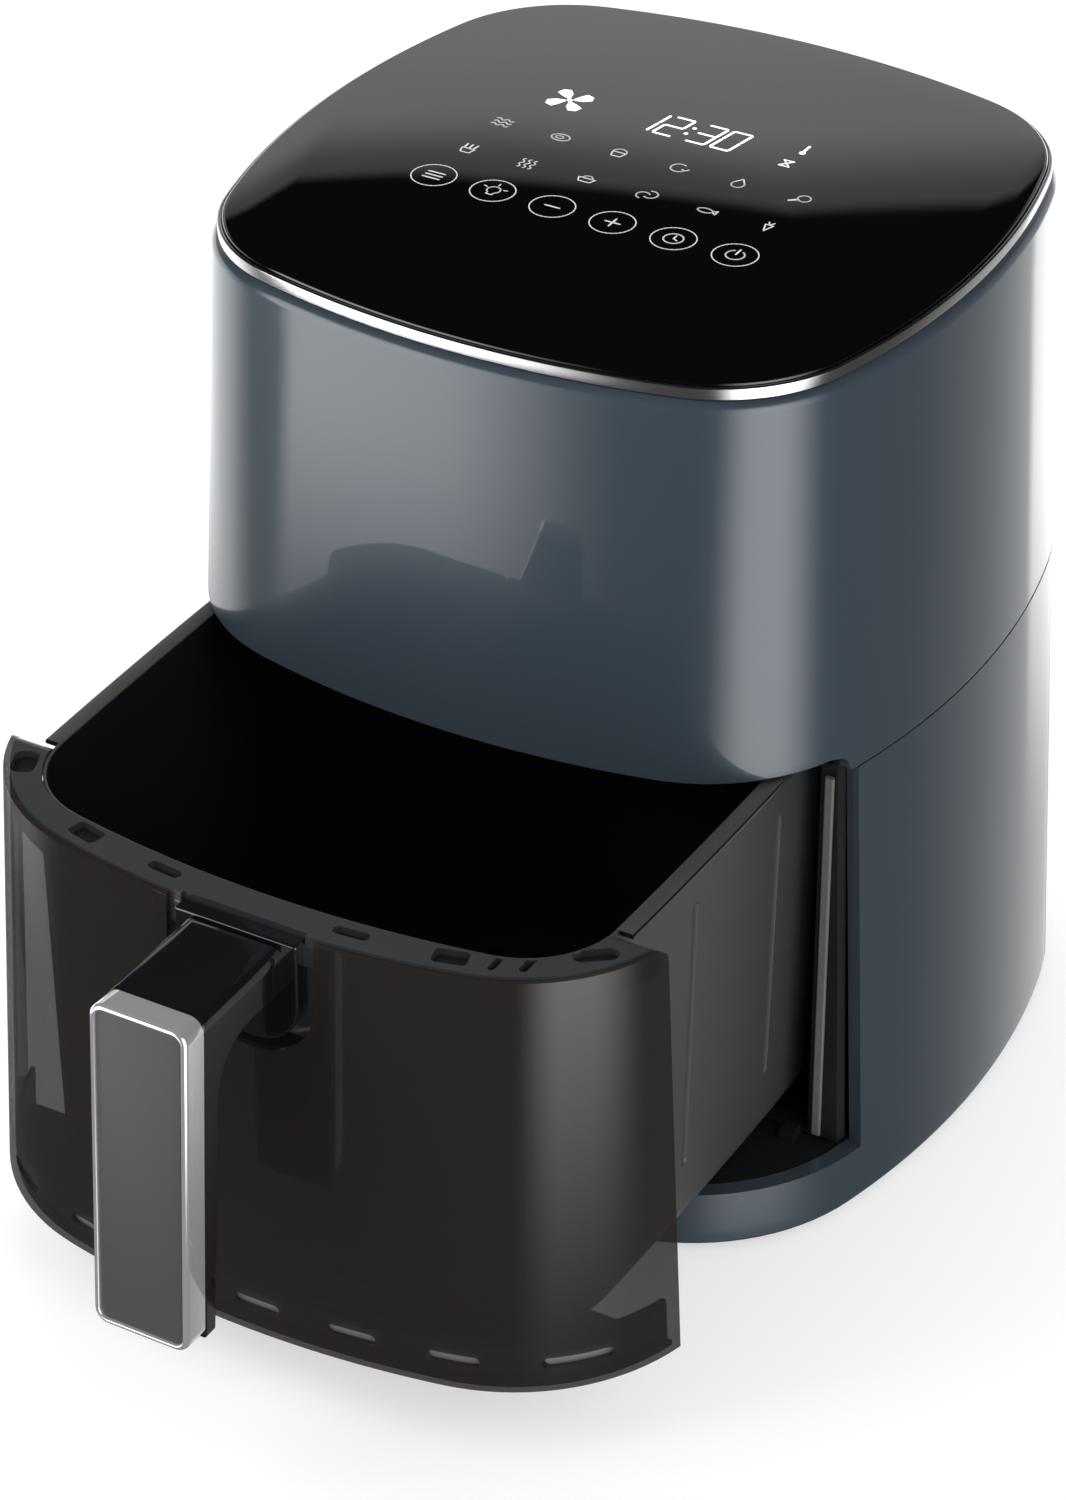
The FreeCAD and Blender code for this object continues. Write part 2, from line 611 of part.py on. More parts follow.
ceiling = slab("ceiling_sheet", housing("plate_inset"), ("ceiling_z", "ceiling_top_z"))
ceiling_tools = [rod("ceiling_hole", "ceiling_hole_r", ("150", "200")),
                 rod("lamp_hole", "8", ("150", "200"), "-lamp_x", "lamp_y"),
                 rod("sensor_hole", "2.4", ("150", "200"), "lamp_x", "lamp_y")]
for count, (side_x, side_y) in enumerate(FEET, start=1):
    ceiling_tools.append(rod(f"ceiling_screw_{count}", "1.8", ("150", "200"), f"{side_x} * 107",
                             f"{side_y} * 14"))
keep("chamber_top", cut("chamber_top_cut", ceiling, join("ceiling_tool_set", ceiling_tools)))

lens_flange = rod("lens_flange", "11", ("179.8", "ceiling_z - 0.1"), "-lamp_x", "lamp_y")
lens_stem = rod("lens_stem", "7.7", ("179.8", "ceiling_top_z + 0.5"), "-lamp_x", "lamp_y")
keep("lamp_lens", join("lamp_lens_set", [lens_flange, lens_stem]))
lamp_can = rod("lamp_can", "11", ("ceiling_top_z + 0.6", "200"), "-lamp_x", "lamp_y")
lamp_cap = rod("lamp_cap", "5", ("199", "206"), "-lamp_x", "lamp_y")
keep("chamber_lamp", join("chamber_lamp_set", [lamp_can, lamp_cap]))
probe = rod("probe", "2", ("179.4", "200"), "lamp_x", "lamp_y")
probe_seat = rod("probe_seat", "7", ("ceiling_top_z + 0.1", "186"), "lamp_x", "lamp_y")
keep("temperature_sensor", join("temperature_sensor_set", [probe, probe_seat]))

latch = body("latch_spring")
latch_sketch = sketch_in(latch, "latch_profile", "YZ_Plane")
draw_polygon(latch_sketch, [("103.4", "150"), ("103.4", "161"), ("100", "166"), ("103.4", "171"),
                            ("102.8", "171.5"), ("99.1", "166"), ("102.8", "160.6"),
                            ("102.8", "150")])
pad(latch, latch_sketch, "latch_strip", "24", both_ways=True)
keep("latch_spring", latch)

# ---------------------------------------------------------------- heater
dome = body("heat_reflector")
dome_sketch = sketch_in(dome, "dome_profile", "XZ_Plane")
draw_polygon(dome_sketch, [("12", "dome_top_z - 0.8"), ("dome_r - 0.8", "dome_top_z - 0.8"),
                           ("dome_r - 0.8", "ceiling_top_z + 0.1"), ("99", "ceiling_top_z + 0.1"),
                           ("99", "ceiling_top_z + 0.9"), ("dome_r", "ceiling_top_z + 0.9"),
                           ("dome_r", "dome_top_z"), ("12", "dome_top_z")])
revolve(dome, dome_sketch, "dome_shell")
terminal_holes = sketch_in(dome, "terminal_holes", up="dome_top_z + 1")
for side in (-1, 1):
    draw_circle(terminal_holes, "4.4", f"{side} * 14", "78.5")
pocket(dome, terminal_holes, "terminal_hole_cut", "5")
keep("heat_reflector", dome)


def hoop(name, radius, tube, z):
    made = doc.addObject("Part::Torus", name)
    bind(made, "Radius1", radius)
    bind(made, "Radius2", tube)
    bind(made, "Placement.Base.z", z)
    return made


def bar_through(name, radius, half_length, turn, z):
    """A level bar through the Z axis, turned about it."""
    made = doc.addObject("Part::Cylinder", name)
    heading = FreeCAD.Rotation(FreeCAD.Vector(0, 0, 1), turn)
    made.Placement.Rotation = heading.multiply(FreeCAD.Rotation(FreeCAD.Vector(0, 1, 0), 90))
    bind(made, "Radius", radius)
    bind(made, "Height", f"2 * ({half_length})")
    bind(made, "Placement.Base.x", f"-({half_length}) * cos({turn} deg)")
    bind(made, "Placement.Base.y", f"-({half_length}) * sin({turn} deg)")
    bind(made, "Placement.Base.z", z)
    return made


element_pieces = [hoop("element_outer", "element_outer_r", "tube_r", "element_z"),
                  hoop("element_inner", "element_inner_r", "tube_r", "element_z"),
                  rod_along_y("element_link", "tube_r - 0.4",
                              ("-element_outer_r", "-element_inner_r"), "0", "element_z")]
for side in (-1, 1):
    element_pieces.append(rod(f"terminal_{side + 2}", "2.4", ("element_z", "221"),
                              f"{side} * 14", "78.5"))
keep("heating_element", join("heating_element_set", element_pieces))

for count in range(3):
    clip = body(f"element_clip_{count + 1}")
    clip_sketch = sketch_in(clip, f"clip_{count + 1}_profile", "XZ_Plane")
    draw_polygon(clip_sketch, [("60.5", "194.6"), ("83.5", "194.6"), ("83.5", "196.4"),
                               ("74.5", "196.4"), ("74.5", "213.1"), ("69.5", "213.1"),
                               ("69.5", "196.4"), ("60.5", "196.4")])
    pad(clip, clip_sketch, f"clip_{count + 1}_strip", "6", both_ways=True)
    clip.Placement.Rotation = FreeCAD.Rotation(FreeCAD.Vector(0, 0, 1), 10 + 120 * count)
    keep(f"element_clip_{count + 1}", clip)

guard_pieces = [hoop(f"guard_hoop_{step}", f"{radius}", "1", "guard_z")
                for step, radius in enumerate((20, 37, 54, 71, 88.5))]
guard_pieces += [bar_through(f"guard_bar_{step}", "1.05", "88.5", 60 * step, "guard_z")
                 for step in range(3)]
keep("element_guard", join("element_guard_set", guard_pieces))


# ---------------------------------------------------------------- motor and fans
def impeller(name, z, radius, height, hub_r, blades, disc_high):
    """A bladed wheel on the shaft, with its disc above or below the blades."""
    wheel = body(name)
    hub_sketch = sketch_in(wheel, name + "_hub_outline")
    draw_circle(hub_sketch, hub_r)
    draw_circle(hub_sketch, "shaft_r + 0.05")
    pad(wheel, hub_sketch, name + "_hub", f"{height} + 1.2")
    disc_sketch = sketch_in(wheel, name + "_disc_outline", up=height if disc_high else "0")
    draw_circle(disc_sketch, radius)
    draw_circle(disc_sketch, "shaft_r + 0.05")
    pad(wheel, disc_sketch, name + "_disc", "1.2")
    blade_sketch = sketch_in(wheel, name + "_blade_outline", up="0" if disc_high else "1")
    draw_polygon(blade_sketch, [(f"{hub_r} - 1", "-0.6"), (f"({radius}) * 0.97", "5.4"),
                                (f"({radius}) * 0.97", "6.8"), (f"{hub_r} - 1", "0.8")])
    blade = pad(wheel, blade_sketch, name + "_blade", height)
    ring_of(wheel, blade, blade_sketch, name + "_blades", blades)
    keep(name, lift(wheel, z))


impeller("convection_fan", "fan_z", "fan_r", "11", "10", 10, True)
impeller("cooling_fan", "cooler_z", "cooler_r", "12", "9", 9, False)

shaft = body("motor_shaft")
shaft_sketch = sketch_in(shaft, "shaft_outline")
draw_circle(shaft_sketch, "shaft_r")
pad(shaft, shaft_sketch, "shaft_bar", "96")
keep("motor_shaft", lift(shaft, "190"))

nut = body("fan_nut")
nut_sketch = sketch_in(nut, "nut_outline")
flats = [(f"7.5 * cos({60 * step} deg)", f"7.5 * sin({60 * step} deg)") for step in range(6)]
draw_polygon(nut_sketch, flats)
draw_circle(nut_sketch, "shaft_r + 0.05")
pad(nut, nut_sketch, "nut_block", "4.5")
keep("fan_nut", lift(nut, "191.3"))

bracket = body("motor_bracket")
bracket_sketch = sketch_in(bracket, "bracket_profile", "XZ_Plane")
foot_low = "ceiling_top_z + 0.2"
foot_high = "ceiling_top_z + 1.7"
outer_leg = "bracket_half_x"
inner_leg = "bracket_half_x - 1.5"
draw_polygon(bracket_sketch, [
    ("-112", foot_low), (f"-({inner_leg})", foot_low), (f"-({inner_leg})", "bracket_top_z - 1.5"),
    (inner_leg, "bracket_top_z - 1.5"), (inner_leg, foot_low), ("112", foot_low),
    ("112", foot_high), (outer_leg, foot_high), (outer_leg, "bracket_top_z"),
    (f"-({outer_leg})", "bracket_top_z"), (f"-({outer_leg})", foot_high), ("-112", foot_high)])
pad(bracket, bracket_sketch, "bracket_sheet", "2 * bracket_half_y", both_ways=True)
bracket_holes = sketch_in(bracket, "bracket_holes", up="bracket_top_z + 1")
draw_circle(bracket_holes, "9")
for side_x, side_y in FEET:
    draw_circle(bracket_holes, "1.8", f"{side_x} * 107", f"{side_y} * 14")
pocket(bracket, bracket_holes, "bracket_hole_cut", "60")
board_posts = sketch_in(bracket, "board_posts", up="bracket_top_z - 0.5")
for place_x, place_y in ((-94, 16), (-94, -16), (-51, 16), (-51, -16)):
    draw_circle(board_posts, "2.5", f"{place_x}", f"{place_y}")
pad(bracket, board_posts, "board_post_pads", "6.5")
keep("motor_bracket", bracket)

bracket_screw_set = []
for count, (side_x, side_y) in enumerate(FEET, start=1):
    place = (f"{side_x} * 107", f"{side_y} * 14")
    head = rod(f"bracket_head_{count}", "3.2", (f"{foot_high} + 0.1", f"{foot_high} + 2.2"), *place)
    shank = rod(f"bracket_shank_{count}", "1.6", ("ceiling_z - 0.05", f"{foot_high} + 1"), *place)
    bracket_screw_set.append(join(f"bracket_screw_{count}", [head, shank]))
keep("bracket_screws", join("bracket_screw_group", bracket_screw_set))

motor = body("motor")
motor_sketch = sketch_in(motor, "motor_outline")
draw_circle(motor_sketch, "motor_r")
draw_circle(motor_sketch, "shaft_bore_r")
pad(motor, motor_sketch, "motor_can", "motor_top_z - bracket_top_z - 3.1")
collar_sketch = sketch_in(motor, "motor_collar_outline", up="motor_top_z - bracket_top_z - 3.2")
draw_circle(collar_sketch, "9")
draw_circle(collar_sketch, "shaft_bore_r")
pad(motor, collar_sketch, "motor_collar", "3")
round_edges(motor, "motor_edge", "3", lambda middle, edge: edge.Length > 180 and middle.z > 1)
keep("motor", lift(motor, "bracket_top_z + 0.1"))

power_sheet = box("power_sheet", ("-99", "-46"), ("-20", "20"), ("231.6", "233.2"))
relay = box("relay", ("-96", "-80"), ("-8", "8"), ("233.1", "248"))
coil = box("filter_coil", ("-74", "-60"), ("3", "17"), ("233.1", "243"))
cell = rod("smoothing_cell", "6", ("233.1", "253"), "-66", "-9")
keep("power_board", join("power_board_set", [power_sheet, relay, coil, cell]))

# ---------------------------------------------------------------- rear outlet and gland
duct_block = box("duct_block", ("-32", "32"), ("97", "117.8"), ("196", "228"))
duct_inside = box("duct_inside", ("-30.8", "30.8"), ("90", "130"), ("197.2", "226.8"))
keep("exhaust_duct", cut("exhaust_duct_cut", duct_block, duct_inside))
grille_plate = band("grille_plate", "0.4", "wall + 0.4", ("outlet_z + 0.3", "outlet_top_z - 0.3"),
                    ("100", "reach"), ("0.3 - outlet_half_x", "outlet_half_x - 0.3"))
louvres = [box(f"louvre_{step}", ("-34", "34"), ("90", "reach"),
               (f"outlet_z + 4.4 + {step} * 4.9", f"outlet_z + 6.8 + {step} * 4.9"))
           for step in range(7)]
keep("rear_grille", cut("rear_grille_cut", grille_plate, join("louvre_set", louvres)))

gland = body("cord_gland")
gland_sketch = sketch_in(gland, "gland_profile")
draw_polygon(gland_sketch, [("3.4", "114"), ("11", "114"), ("11", "117"), ("7.6", "117"),
                            ("7.6", "133"), ("6.4", "138"), ("3.4", "138")])
revolve(gland, gland_sketch, "gland_bush")
keep("cord_gland", lift(gland, "gland_z", "-gland_x"))

# ---------------------------------------------------------------- door switch
switch_block = box("switch_block", ("107.2", "115"), ("-67.2", "-50"), ("163.5", "175.5"))
switch_bore = rod_along_y("switch_bore", "plunger_bore_r", ("-80", "-54"), "plunger_x", "plunger_z")
keep("switch_housing", cut("switch_housing_cut", switch_block, switch_bore))
keep("switch_plunger", rod_along_y("switch_plunger", "plunger_r", ("-74", "-59"), "plunger_x",
                                   "plunger_z"))

# ---------------------------------------------------------------- basket
pan_solid = rounded("pan_solid", pan("0"), "pan_edge_r",
                    lambda middle, edge: middle.z < num("pan_z") + 0.01)
pan_inner = slab("pan_inner", pan("pan_wall"), ("pan_z + pan_wall", "pan_top_z"))
pan_inside = rounded("pan_inside", pan_inner, "pan_edge_r - pan_wall",
                     lambda middle, edge: middle.z < num("pan_z + pan_wall") + 0.01)


def pan_collar(name, outer, inner, z, z_top):
    """A level ring that follows the basket's top outline."""
    owner = body(name)
    sketch = sketch_in(owner, name + "_outline")
    draw_bulged(sketch, *[f"{text} - ({outer})" for text in PAN_TOP])
    if inner:
        draw_bulged(sketch, *[f"{text} - ({inner})" for text in PAN_TOP])
    pad(owner, sketch, name + "_pad", f"({z_top}) - ({z})")
    return lift(owner, z, y="pan_y")


rim_ring = pan_collar("rim_ring", "-rim_wide", "", "pan_top_z - rim_thick", "pan_top_z")
rim_front = box("rim_front", ("-reach", "reach"), ("-reach", "-cover_y"), ("150", "200"))
rim = cut("rim", rim_ring, rim_front)
pan_full = join("pan_full", [pan_solid, rim])
pan_hollow = cut("pan_hollow", pan_full, pan_inside)
window_tool = body("window_tool")
window_sketch = sketch_in(window_tool, "window_outline", "XZ_Plane", "80")
draw_rectangle(window_sketch, "window_half_x", "(window_top_z - window_z) / 2", "10", "0",
               "(window_top_z + window_z) / 2")
pad(window_tool, window_sketch, "window_prism", "60")
basket_tools = [window_tool]
taper = math.degrees(math.atan2(num("pan_top_half_x - pan_base_half_x"), num("pan_top_z - pan_z")))
wall_rise = "(pan_top_half_x - pan_base_half_x) / (pan_top_z - pan_z)"
bead_x = f"(pan_base_half_x + {wall_rise} * (groove_z - pan_z) + groove_r - groove_deep)"


def capsule(name, radius, side, y):
    """A bar with ball ends that leans with the side wall of the basket."""
    bar = doc.addObject("Part::Cylinder", name + "_bar")
    bar.Placement.Rotation = FreeCAD.Rotation(FreeCAD.Vector(0, 1, 0), side * taper)
    bind(bar, "Radius", radius)
    bind(bar, "Height", "groove_top_z - groove_z")
    low_ball = doc.addObject("Part::Sphere", name + "_low_ball")
    high_ball = doc.addObject("Part::Sphere", name + "_high_ball")
    lean = math.radians(taper)
    length = "(groove_top_z - groove_z)"
    for piece, along in ((bar, "0"), (low_ball, "0"), (high_ball, length)):
        bind(piece, "Placement.Base.x", f"{side} * ({bead_x} + {along} * {math.sin(lean):.6f})")
        bind(piece, "Placement.Base.y", y)
        bind(piece, "Placement.Base.z", f"groove_z + {along} * {math.cos(lean):.6f}")
    for ball in (low_ball, high_ball):
        bind(ball, "Radius", radius)
    return join(name, [bar, low_ball, high_ball])


beads = []
for side in (-1, 1):
    for number, place in enumerate(("-26.5", "28.5"), start=1):
        basket_tools.append(capsule(f"groove_{side + 2}_{number}", "groove_r", side, place))
        beads.append(capsule(f"bead_{side + 2}_{number}", "groove_r + bead_wall", side, place))
bead_set = common("bead_set", join("bead_group", beads), pan("0.2"))
pan_beaded = join("pan_beaded", [pan_hollow, bead_set])
basket = cut("basket_cut", pan_beaded, join("basket_tool_set", basket_tools))
keep("basket", basket, on_drawer=True)

glass_wall = cut("window_wall", pan("-4.4"), pan("-1.4"))
keep("basket_window", slab("basket_window_sheet", glass_wall, ("window_z - 3.5", "window_top_z + 3.5"),
                           ("-reach", "-60"), ("-window_half_x - 3.5", "window_half_x + 3.5")),
     on_drawer=True)
gasket_wall = cut("gasket_wall", pan("-5.4"), pan("-fit"))
gasket_block = slab("gasket_block", gasket_wall, ("window_z - 7", "window_top_z + 7"),
                    ("-reach", "-60"), ("-window_half_x - 7.5", "window_half_x + 7.5"))
gasket_hole = box("gasket_hole", ("-window_half_x - 3.7", "window_half_x + 3.7"), ("-reach", "-50"),
                  ("window_z - 3.7", "window_top_z + 3.7"))
keep("window_frame", cut("window_frame_cut", gasket_block, gasket_hole), on_drawer=True)

# ---------------------------------------------------------------- drawer front
drawer_inset = "cover_wall + 0.15"
front_block = box("front_block", ("-reach", "reach"), ("-reach", "-cover_y - 0.4"),
                  ("skirt_z", "flange_top_z"))
front_limits = rounded("front_limits", front_block, "flange_end_r",
                       lambda middle, edge: abs(middle.z - num("flange_top_z")) < 0.01
                       and abs(middle.y + num("cover_y + 0.4")) < 0.01)
flange_sheet = slab("flange_sheet", housing(drawer_inset), ("flange_z", "flange_top_z"))
flange = common("flange", flange_sheet, front_limits)
skirt_band = band("skirt_band", drawer_inset, "4.1", ("skirt_z", "flange_z + 0.1"))
skirt = common("skirt", skirt_band, front_limits)
switch_tab = box("switch_tab", ("107.6", "112.4"), ("-78", "-cover_y - 0.4"), ("168", "flange_z + 0.1"))
mount_plate = box("mount_plate", ("-23.5", "23.5"), ("0.15 - boss_back_y", "-118.4"),
                  ("138", "flange_z + 0.1"))
front_joined = join("front_joined", [flange, skirt, switch_tab, mount_plate])
pan_clear = pan_collar("pan_clear", "-fit", "", "160", "190")
boss_notch = box("boss_notch", ("-boss_half_x - 0.5", "boss_half_x + 0.5"), ("-reach", "-122"),
                 ("100", "reach"))


def flange_slot(name, x, y, half_x, half_y, radius, turn=0):
    """An upright rounded slot through the flange."""
    owner = body(name)
    sketch = sketch_in(owner, name + "_outline")
    draw_rectangle(sketch, half_x, half_y, radius)
    pad(owner, sketch, name + "_prism", "20")
    owner.Placement.Rotation = FreeCAD.Rotation(FreeCAD.Vector(0, 0, 1), turn)
    return lift(owner, "162", x, y)


front_tools = [
    pan_clear, boss_notch,
    flange_slot("oval_left", "-33", "-115.5", "6", "2", "1.9", -6),
    flange_slot("oval_right", "33", "-115.5", "6", "2", "1.9", 6),
    flange_slot("notch_left", "-64.5", "-111", "5.5", "3.5", "1.5", -14),
    flange_slot("notch_right", "64.5", "-111", "5.5", "3.5", "1.5", 14),
    flange_slot("slit_one", "77.5", "-106.5", "1.2", "4.5", "1.1"),
    flange_slot("slit_two", "86", "-102", "1.4", "5", "1.3"),
    flange_slot("end_right", "101", "-89", "7", "3", "2.9", 38),
    flange_slot("end_left", "-103", "-88.5", "4", "6", "3", 20)]
for number, place in enumerate(("145", "167"), start=1):
    front_tools.append(rod_along_y(f"plate_hole_{number}", "2", ("-140", "-110"), "0", place))
keep("front_frame", cut("front_frame_cut", front_joined, join("front_tool_set", front_tools)),
     on_drawer=True)

cover_wall_shape = cut("cover_wall_shape", housing("0"), housing("cover_wall"))
cover_block = box("cover_block", ("-reach", "reach"), ("-reach", "-cover_y"), ("cover_z", "cover_top_z"))
cover_limits = rounded("cover_limits", cover_block, "cover_corner_r",
                       lambda middle, edge: abs(middle.z - num("cover_top_z")) < 0.01
                       and abs(middle.y + num("cover_y")) < 0.01)
cover_sheet = common("cover_sheet", cover_wall_shape, cover_limits)


def upright_tongue(name, half_x, z, z_top, radius, y_near, depth):
    """A block with a rounded lower end, standing across the drawer front."""
    owner = body(name)
    sketch = sketch_in(owner, name + "_outline", "XZ_Plane", y_near)
    draw_rectangle(sketch, half_x, f"(({z_top}) - ({z})) / 2", radius, "0",
                   f"(({z_top}) + ({z})) / 2")
    pad(owner, sketch, name + "_prism", depth)
    return owner


cover_hole = upright_tongue("cover_hole", "boss_half_x + boss_gap", "boss_z - 3.5", "215",
                            "boss_r + 3", "110", "40")
cover_tools = [cover_hole]
for step in range(7):
    vent = body(f"vent_{step}")
    vent_sketch = sketch_in(vent, f"vent_{step}_outline", "XZ_Plane", "60")
    draw_rectangle(vent_sketch, "vent_wide / 2", "vent_high / 2", "vent_high / 2 - 0.05",
                   f"6 + {step - 3} * vent_pitch", "vent_z")
    pad(vent, vent_sketch, f"vent_{step}_prism", "100")
    cover_tools.append(vent)
keep("window_cover", cut("window_cover_cut", cover_sheet, join("cover_tool_set", cover_tools)),
     on_drawer=True)

strip_wall = band("vent_strip_band", drawer_inset, "3.4", ("vent_z - 4.5", "vent_z + 4.5"),
                  ("-reach", "-cover_y - 4"))
keep("vent_strip", strip_wall, on_drawer=True)
low_sheet = slab("low_sheet", housing(drawer_inset), ("cover_z + 0.3", "pan_z - 0.2"),
                 ("-reach", "-cover_y - 1"))
low_wall = band("low_wall", "3.6", "5.2", ("cover_z + 0.3", "44"), ("-reach", "-cover_y - 1"))
keep("lower_frame", join("lower_frame_set", [low_sheet, low_wall]), on_drawer=True)

# ---------------------------------------------------------------- handle
lean = math.radians(num("grip_lean"))
slope = f"{math.tan(lean):.5f}"


def grip_line(base, z):
    """The Y of a plane that leans with the grip, at the level z."""
    return f"-({base}) + (({z}) - grip_mid_z) * {slope}"


arm = body("handle_arm")
arm_sketch = sketch_in(arm, "arm_profile", "YZ_Plane")
draw_polygon(arm_sketch, [
    ("-boss_front_y + 1", "arm_top_z"), (grip_line("grip_mid_y", "arm_top_z"), "arm_top_z"),
    (grip_line("grip_mid_y", "grip_z"), "grip_z"),
    (grip_line("grip_mid_y - grip_back", "grip_z"), "grip_z"),
    (grip_line("grip_mid_y - grip_back", "arm_z"), "arm_z"), ("-boss_front_y + 1", "arm_z")])
pad(arm, arm_sketch, "arm_block", "2 * arm_half_x", both_ways=True)
inner_y = num(grip_line("grip_mid_y - grip_back", "arm_z"))
round_edges(arm, "arm_bend", "18", lambda middle, edge: abs(middle.z - num("arm_z")) < 0.01
            and abs(middle.y - inner_y) < 0.01)
round_edges(arm, "arm_top_edges", "arm_edge_r",
            lambda middle, edge: abs(middle.z - num("arm_top_z")) < 0.01 and abs(middle.x) > 16)
boss = upright_tongue("handle_boss", "boss_half_x", "boss_z", "boss_top_z", "boss_r",
                      "boss_back_y", "boss_front_y - boss_back_y")
boss_square = box("boss_square", ("-boss_half_x", "boss_half_x"), ("-boss_front_y", "-boss_back_y"),
                  ("156.75", "boss_top_z"))
handle_joined = join("handle_joined", [arm, boss, boss_square])
handle_holes = [rod_along_y(f"handle_hole_{number}", "2", ("-126.6", "-110"), "0", place)
                for number, place in enumerate(("145", "167"), start=1)]
keep("handle_body", cut("handle_body_cut", handle_joined, join("handle_hole_set", handle_holes)),
     on_drawer=True)

handle_screw_set = []
for number, place in enumerate(("145", "167"), start=1):
    handle_screw_set.append(rod_along_y(f"handle_shank_{number}", "1.8", ("-126", "-118.6"), "0",
                                        place))
keep("handle_screws", join("handle_screw_group", handle_screw_set), on_drawer=True)

trim_half_z = "(arm_top_z - grip_z) / 2"


def grip_piece(label, half_x, half_z, radius, start, depth, hole=None):
    """A plate that leans with the grip: depth thick, starting start in front of its back."""
    owner = body(label)
    sketch = sketch_in(owner, label + "_outline", "XZ_Plane", start)
    draw_rectangle(sketch, half_x, half_z, radius)
    if hole:
        draw_rectangle(sketch, *hole)
    pad(owner, sketch, label + "_pad", depth)
    return owner


def set_on_grip(label, owner):
    owner.Placement.Rotation = FreeCAD.Rotation(FreeCAD.Vector(1, 0, 0), -num("grip_lean"))
    keep(label, lift(owner, "grip_mid_z", y="-grip_mid_y"), on_drawer=True)


trim_frame = grip_piece("handle_trim", "arm_half_x", trim_half_z, "trim_r", "0.1", "trim_deep",
                        ("arm_half_x - trim_wall", f"{trim_half_z} - trim_wall", "trim_r - 1.4"))
round_edges(trim_frame, "trim_edge", "0.6",
            lambda middle, edge: middle.y < -num("trim_deep") + 0.01)
set_on_grip("handle_trim", trim_frame)
insert = grip_piece("handle_insert", "arm_half_x - trim_wall - fit",
                    f"{trim_half_z} - trim_wall - fit", "trim_r - 1.6", "0.1", "trim_deep - 0.8")
set_on_grip("handle_insert", insert)

# ---------------------------------------------------------------- crisper plate
crisper = body("crisper_plate")
crisper_sketch = sketch_in(crisper, "crisper_outline")
draw_bulged(crisper_sketch, *[f"{text} - crisper_inset" for text in PAN_BASE])
pad(crisper, crisper_sketch, "crisper_sheet", "crisper_thick")
lip_sketch = sketch_in(crisper, "crisper_lip_outline", up="-3.6")
draw_bulged(lip_sketch, *[f"{text} - crisper_inset" for text in PAN_BASE])
draw_bulged(lip_sketch, *[f"{text} - crisper_inset - 1.2" for text in PAN_BASE])
pad(crisper, lip_sketch, "crisper_lip", "3.8")
for ring_number, (distance, count) in enumerate(((14, 6), (30, 12), (46, 18), (62, 24), (78, 30))):
    hole_sketch = sketch_in(crisper, f"crisper_hole_{ring_number}", up="3")
    draw_circle(hole_sketch, "3.2", f"{distance}", "0")
    hole = pocket(crisper, hole_sketch, f"crisper_hole_cut_{ring_number}", "6")
    ring_of(crisper, hole, hole_sketch, f"crisper_ring_{ring_number}", count)
keep("crisper_plate", lift(crisper, "crisper_z", y="pan_y"), on_drawer=True)
for count, (side_x, side_y) in enumerate(FEET, start=1):
    pad_foot = body(f"crisper_foot_{count}")
    pad_foot_sketch = sketch_in(pad_foot, f"crisper_foot_{count}_outline")
    draw_circle(pad_foot_sketch, "5")
    pad(pad_foot, pad_foot_sketch, f"crisper_foot_{count}_pad", "5.2")
    lift(pad_foot, "pan_z + pan_wall + 0.4", f"{side_x} * crisper_foot",
         f"pan_y + {side_y} * crisper_foot")
    keep(f"crisper_foot_{count}", pad_foot, on_drawer=True)

# ---------------------------------------------------------------- checks and files
doc.recompute()
for obj in doc.Objects:
    if "Invalid" in obj.State or "Error" in obj.State:
        raise RuntimeError(f"{obj.Name} did not compute: {obj.State}")
for label, obj in nodes.items():
    shape = obj.Shape
    if shape.isNull() or not shape.isValid() or not shape.Solids:
        raise RuntimeError(f"{label} has no sound solid")
    shape.exportStep(f"parts/{label}.step")
print(len(nodes), "sub-parts written")
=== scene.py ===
import json
import math

import bmesh
import bpy
from mathutils import Matrix, Vector


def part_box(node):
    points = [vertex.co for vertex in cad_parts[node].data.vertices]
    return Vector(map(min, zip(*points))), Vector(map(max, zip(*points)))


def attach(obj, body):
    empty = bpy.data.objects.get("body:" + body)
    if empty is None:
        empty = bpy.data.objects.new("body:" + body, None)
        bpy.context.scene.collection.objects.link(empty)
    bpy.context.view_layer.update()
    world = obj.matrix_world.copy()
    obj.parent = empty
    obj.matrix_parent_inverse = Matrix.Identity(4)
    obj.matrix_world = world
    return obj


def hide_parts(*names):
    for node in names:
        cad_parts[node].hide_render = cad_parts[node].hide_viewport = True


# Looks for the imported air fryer: finer shells built over the CAD sizes, materials, panel
# graphics, light and camera. Metres, +Z up, the drawer opens towards -Y.

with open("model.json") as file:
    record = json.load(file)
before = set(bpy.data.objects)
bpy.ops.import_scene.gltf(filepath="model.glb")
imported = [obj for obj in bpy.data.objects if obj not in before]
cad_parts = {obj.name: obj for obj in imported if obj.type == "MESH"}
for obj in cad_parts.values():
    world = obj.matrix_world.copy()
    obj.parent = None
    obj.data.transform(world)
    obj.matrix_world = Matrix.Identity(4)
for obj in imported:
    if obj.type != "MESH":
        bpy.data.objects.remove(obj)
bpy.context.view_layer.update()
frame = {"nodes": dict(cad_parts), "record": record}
MM = 0.001


def cosd(degrees):
    return math.cos(math.radians(degrees))


def sind(degrees):
    return math.sin(math.radians(degrees))


def evenly(start, end, steps, first=0):
    """Values from start to end in equal steps, from step number first on."""
    return [start + (end - start) * step / steps for step in range(first, steps + 1)]


# -------- sizes read from the frame
def box_mm(label):
    """A node's lowest and highest corners at rest, in millimetres."""
    return [Vector([round(c / MM, 3) for c in corner]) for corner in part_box(label)]


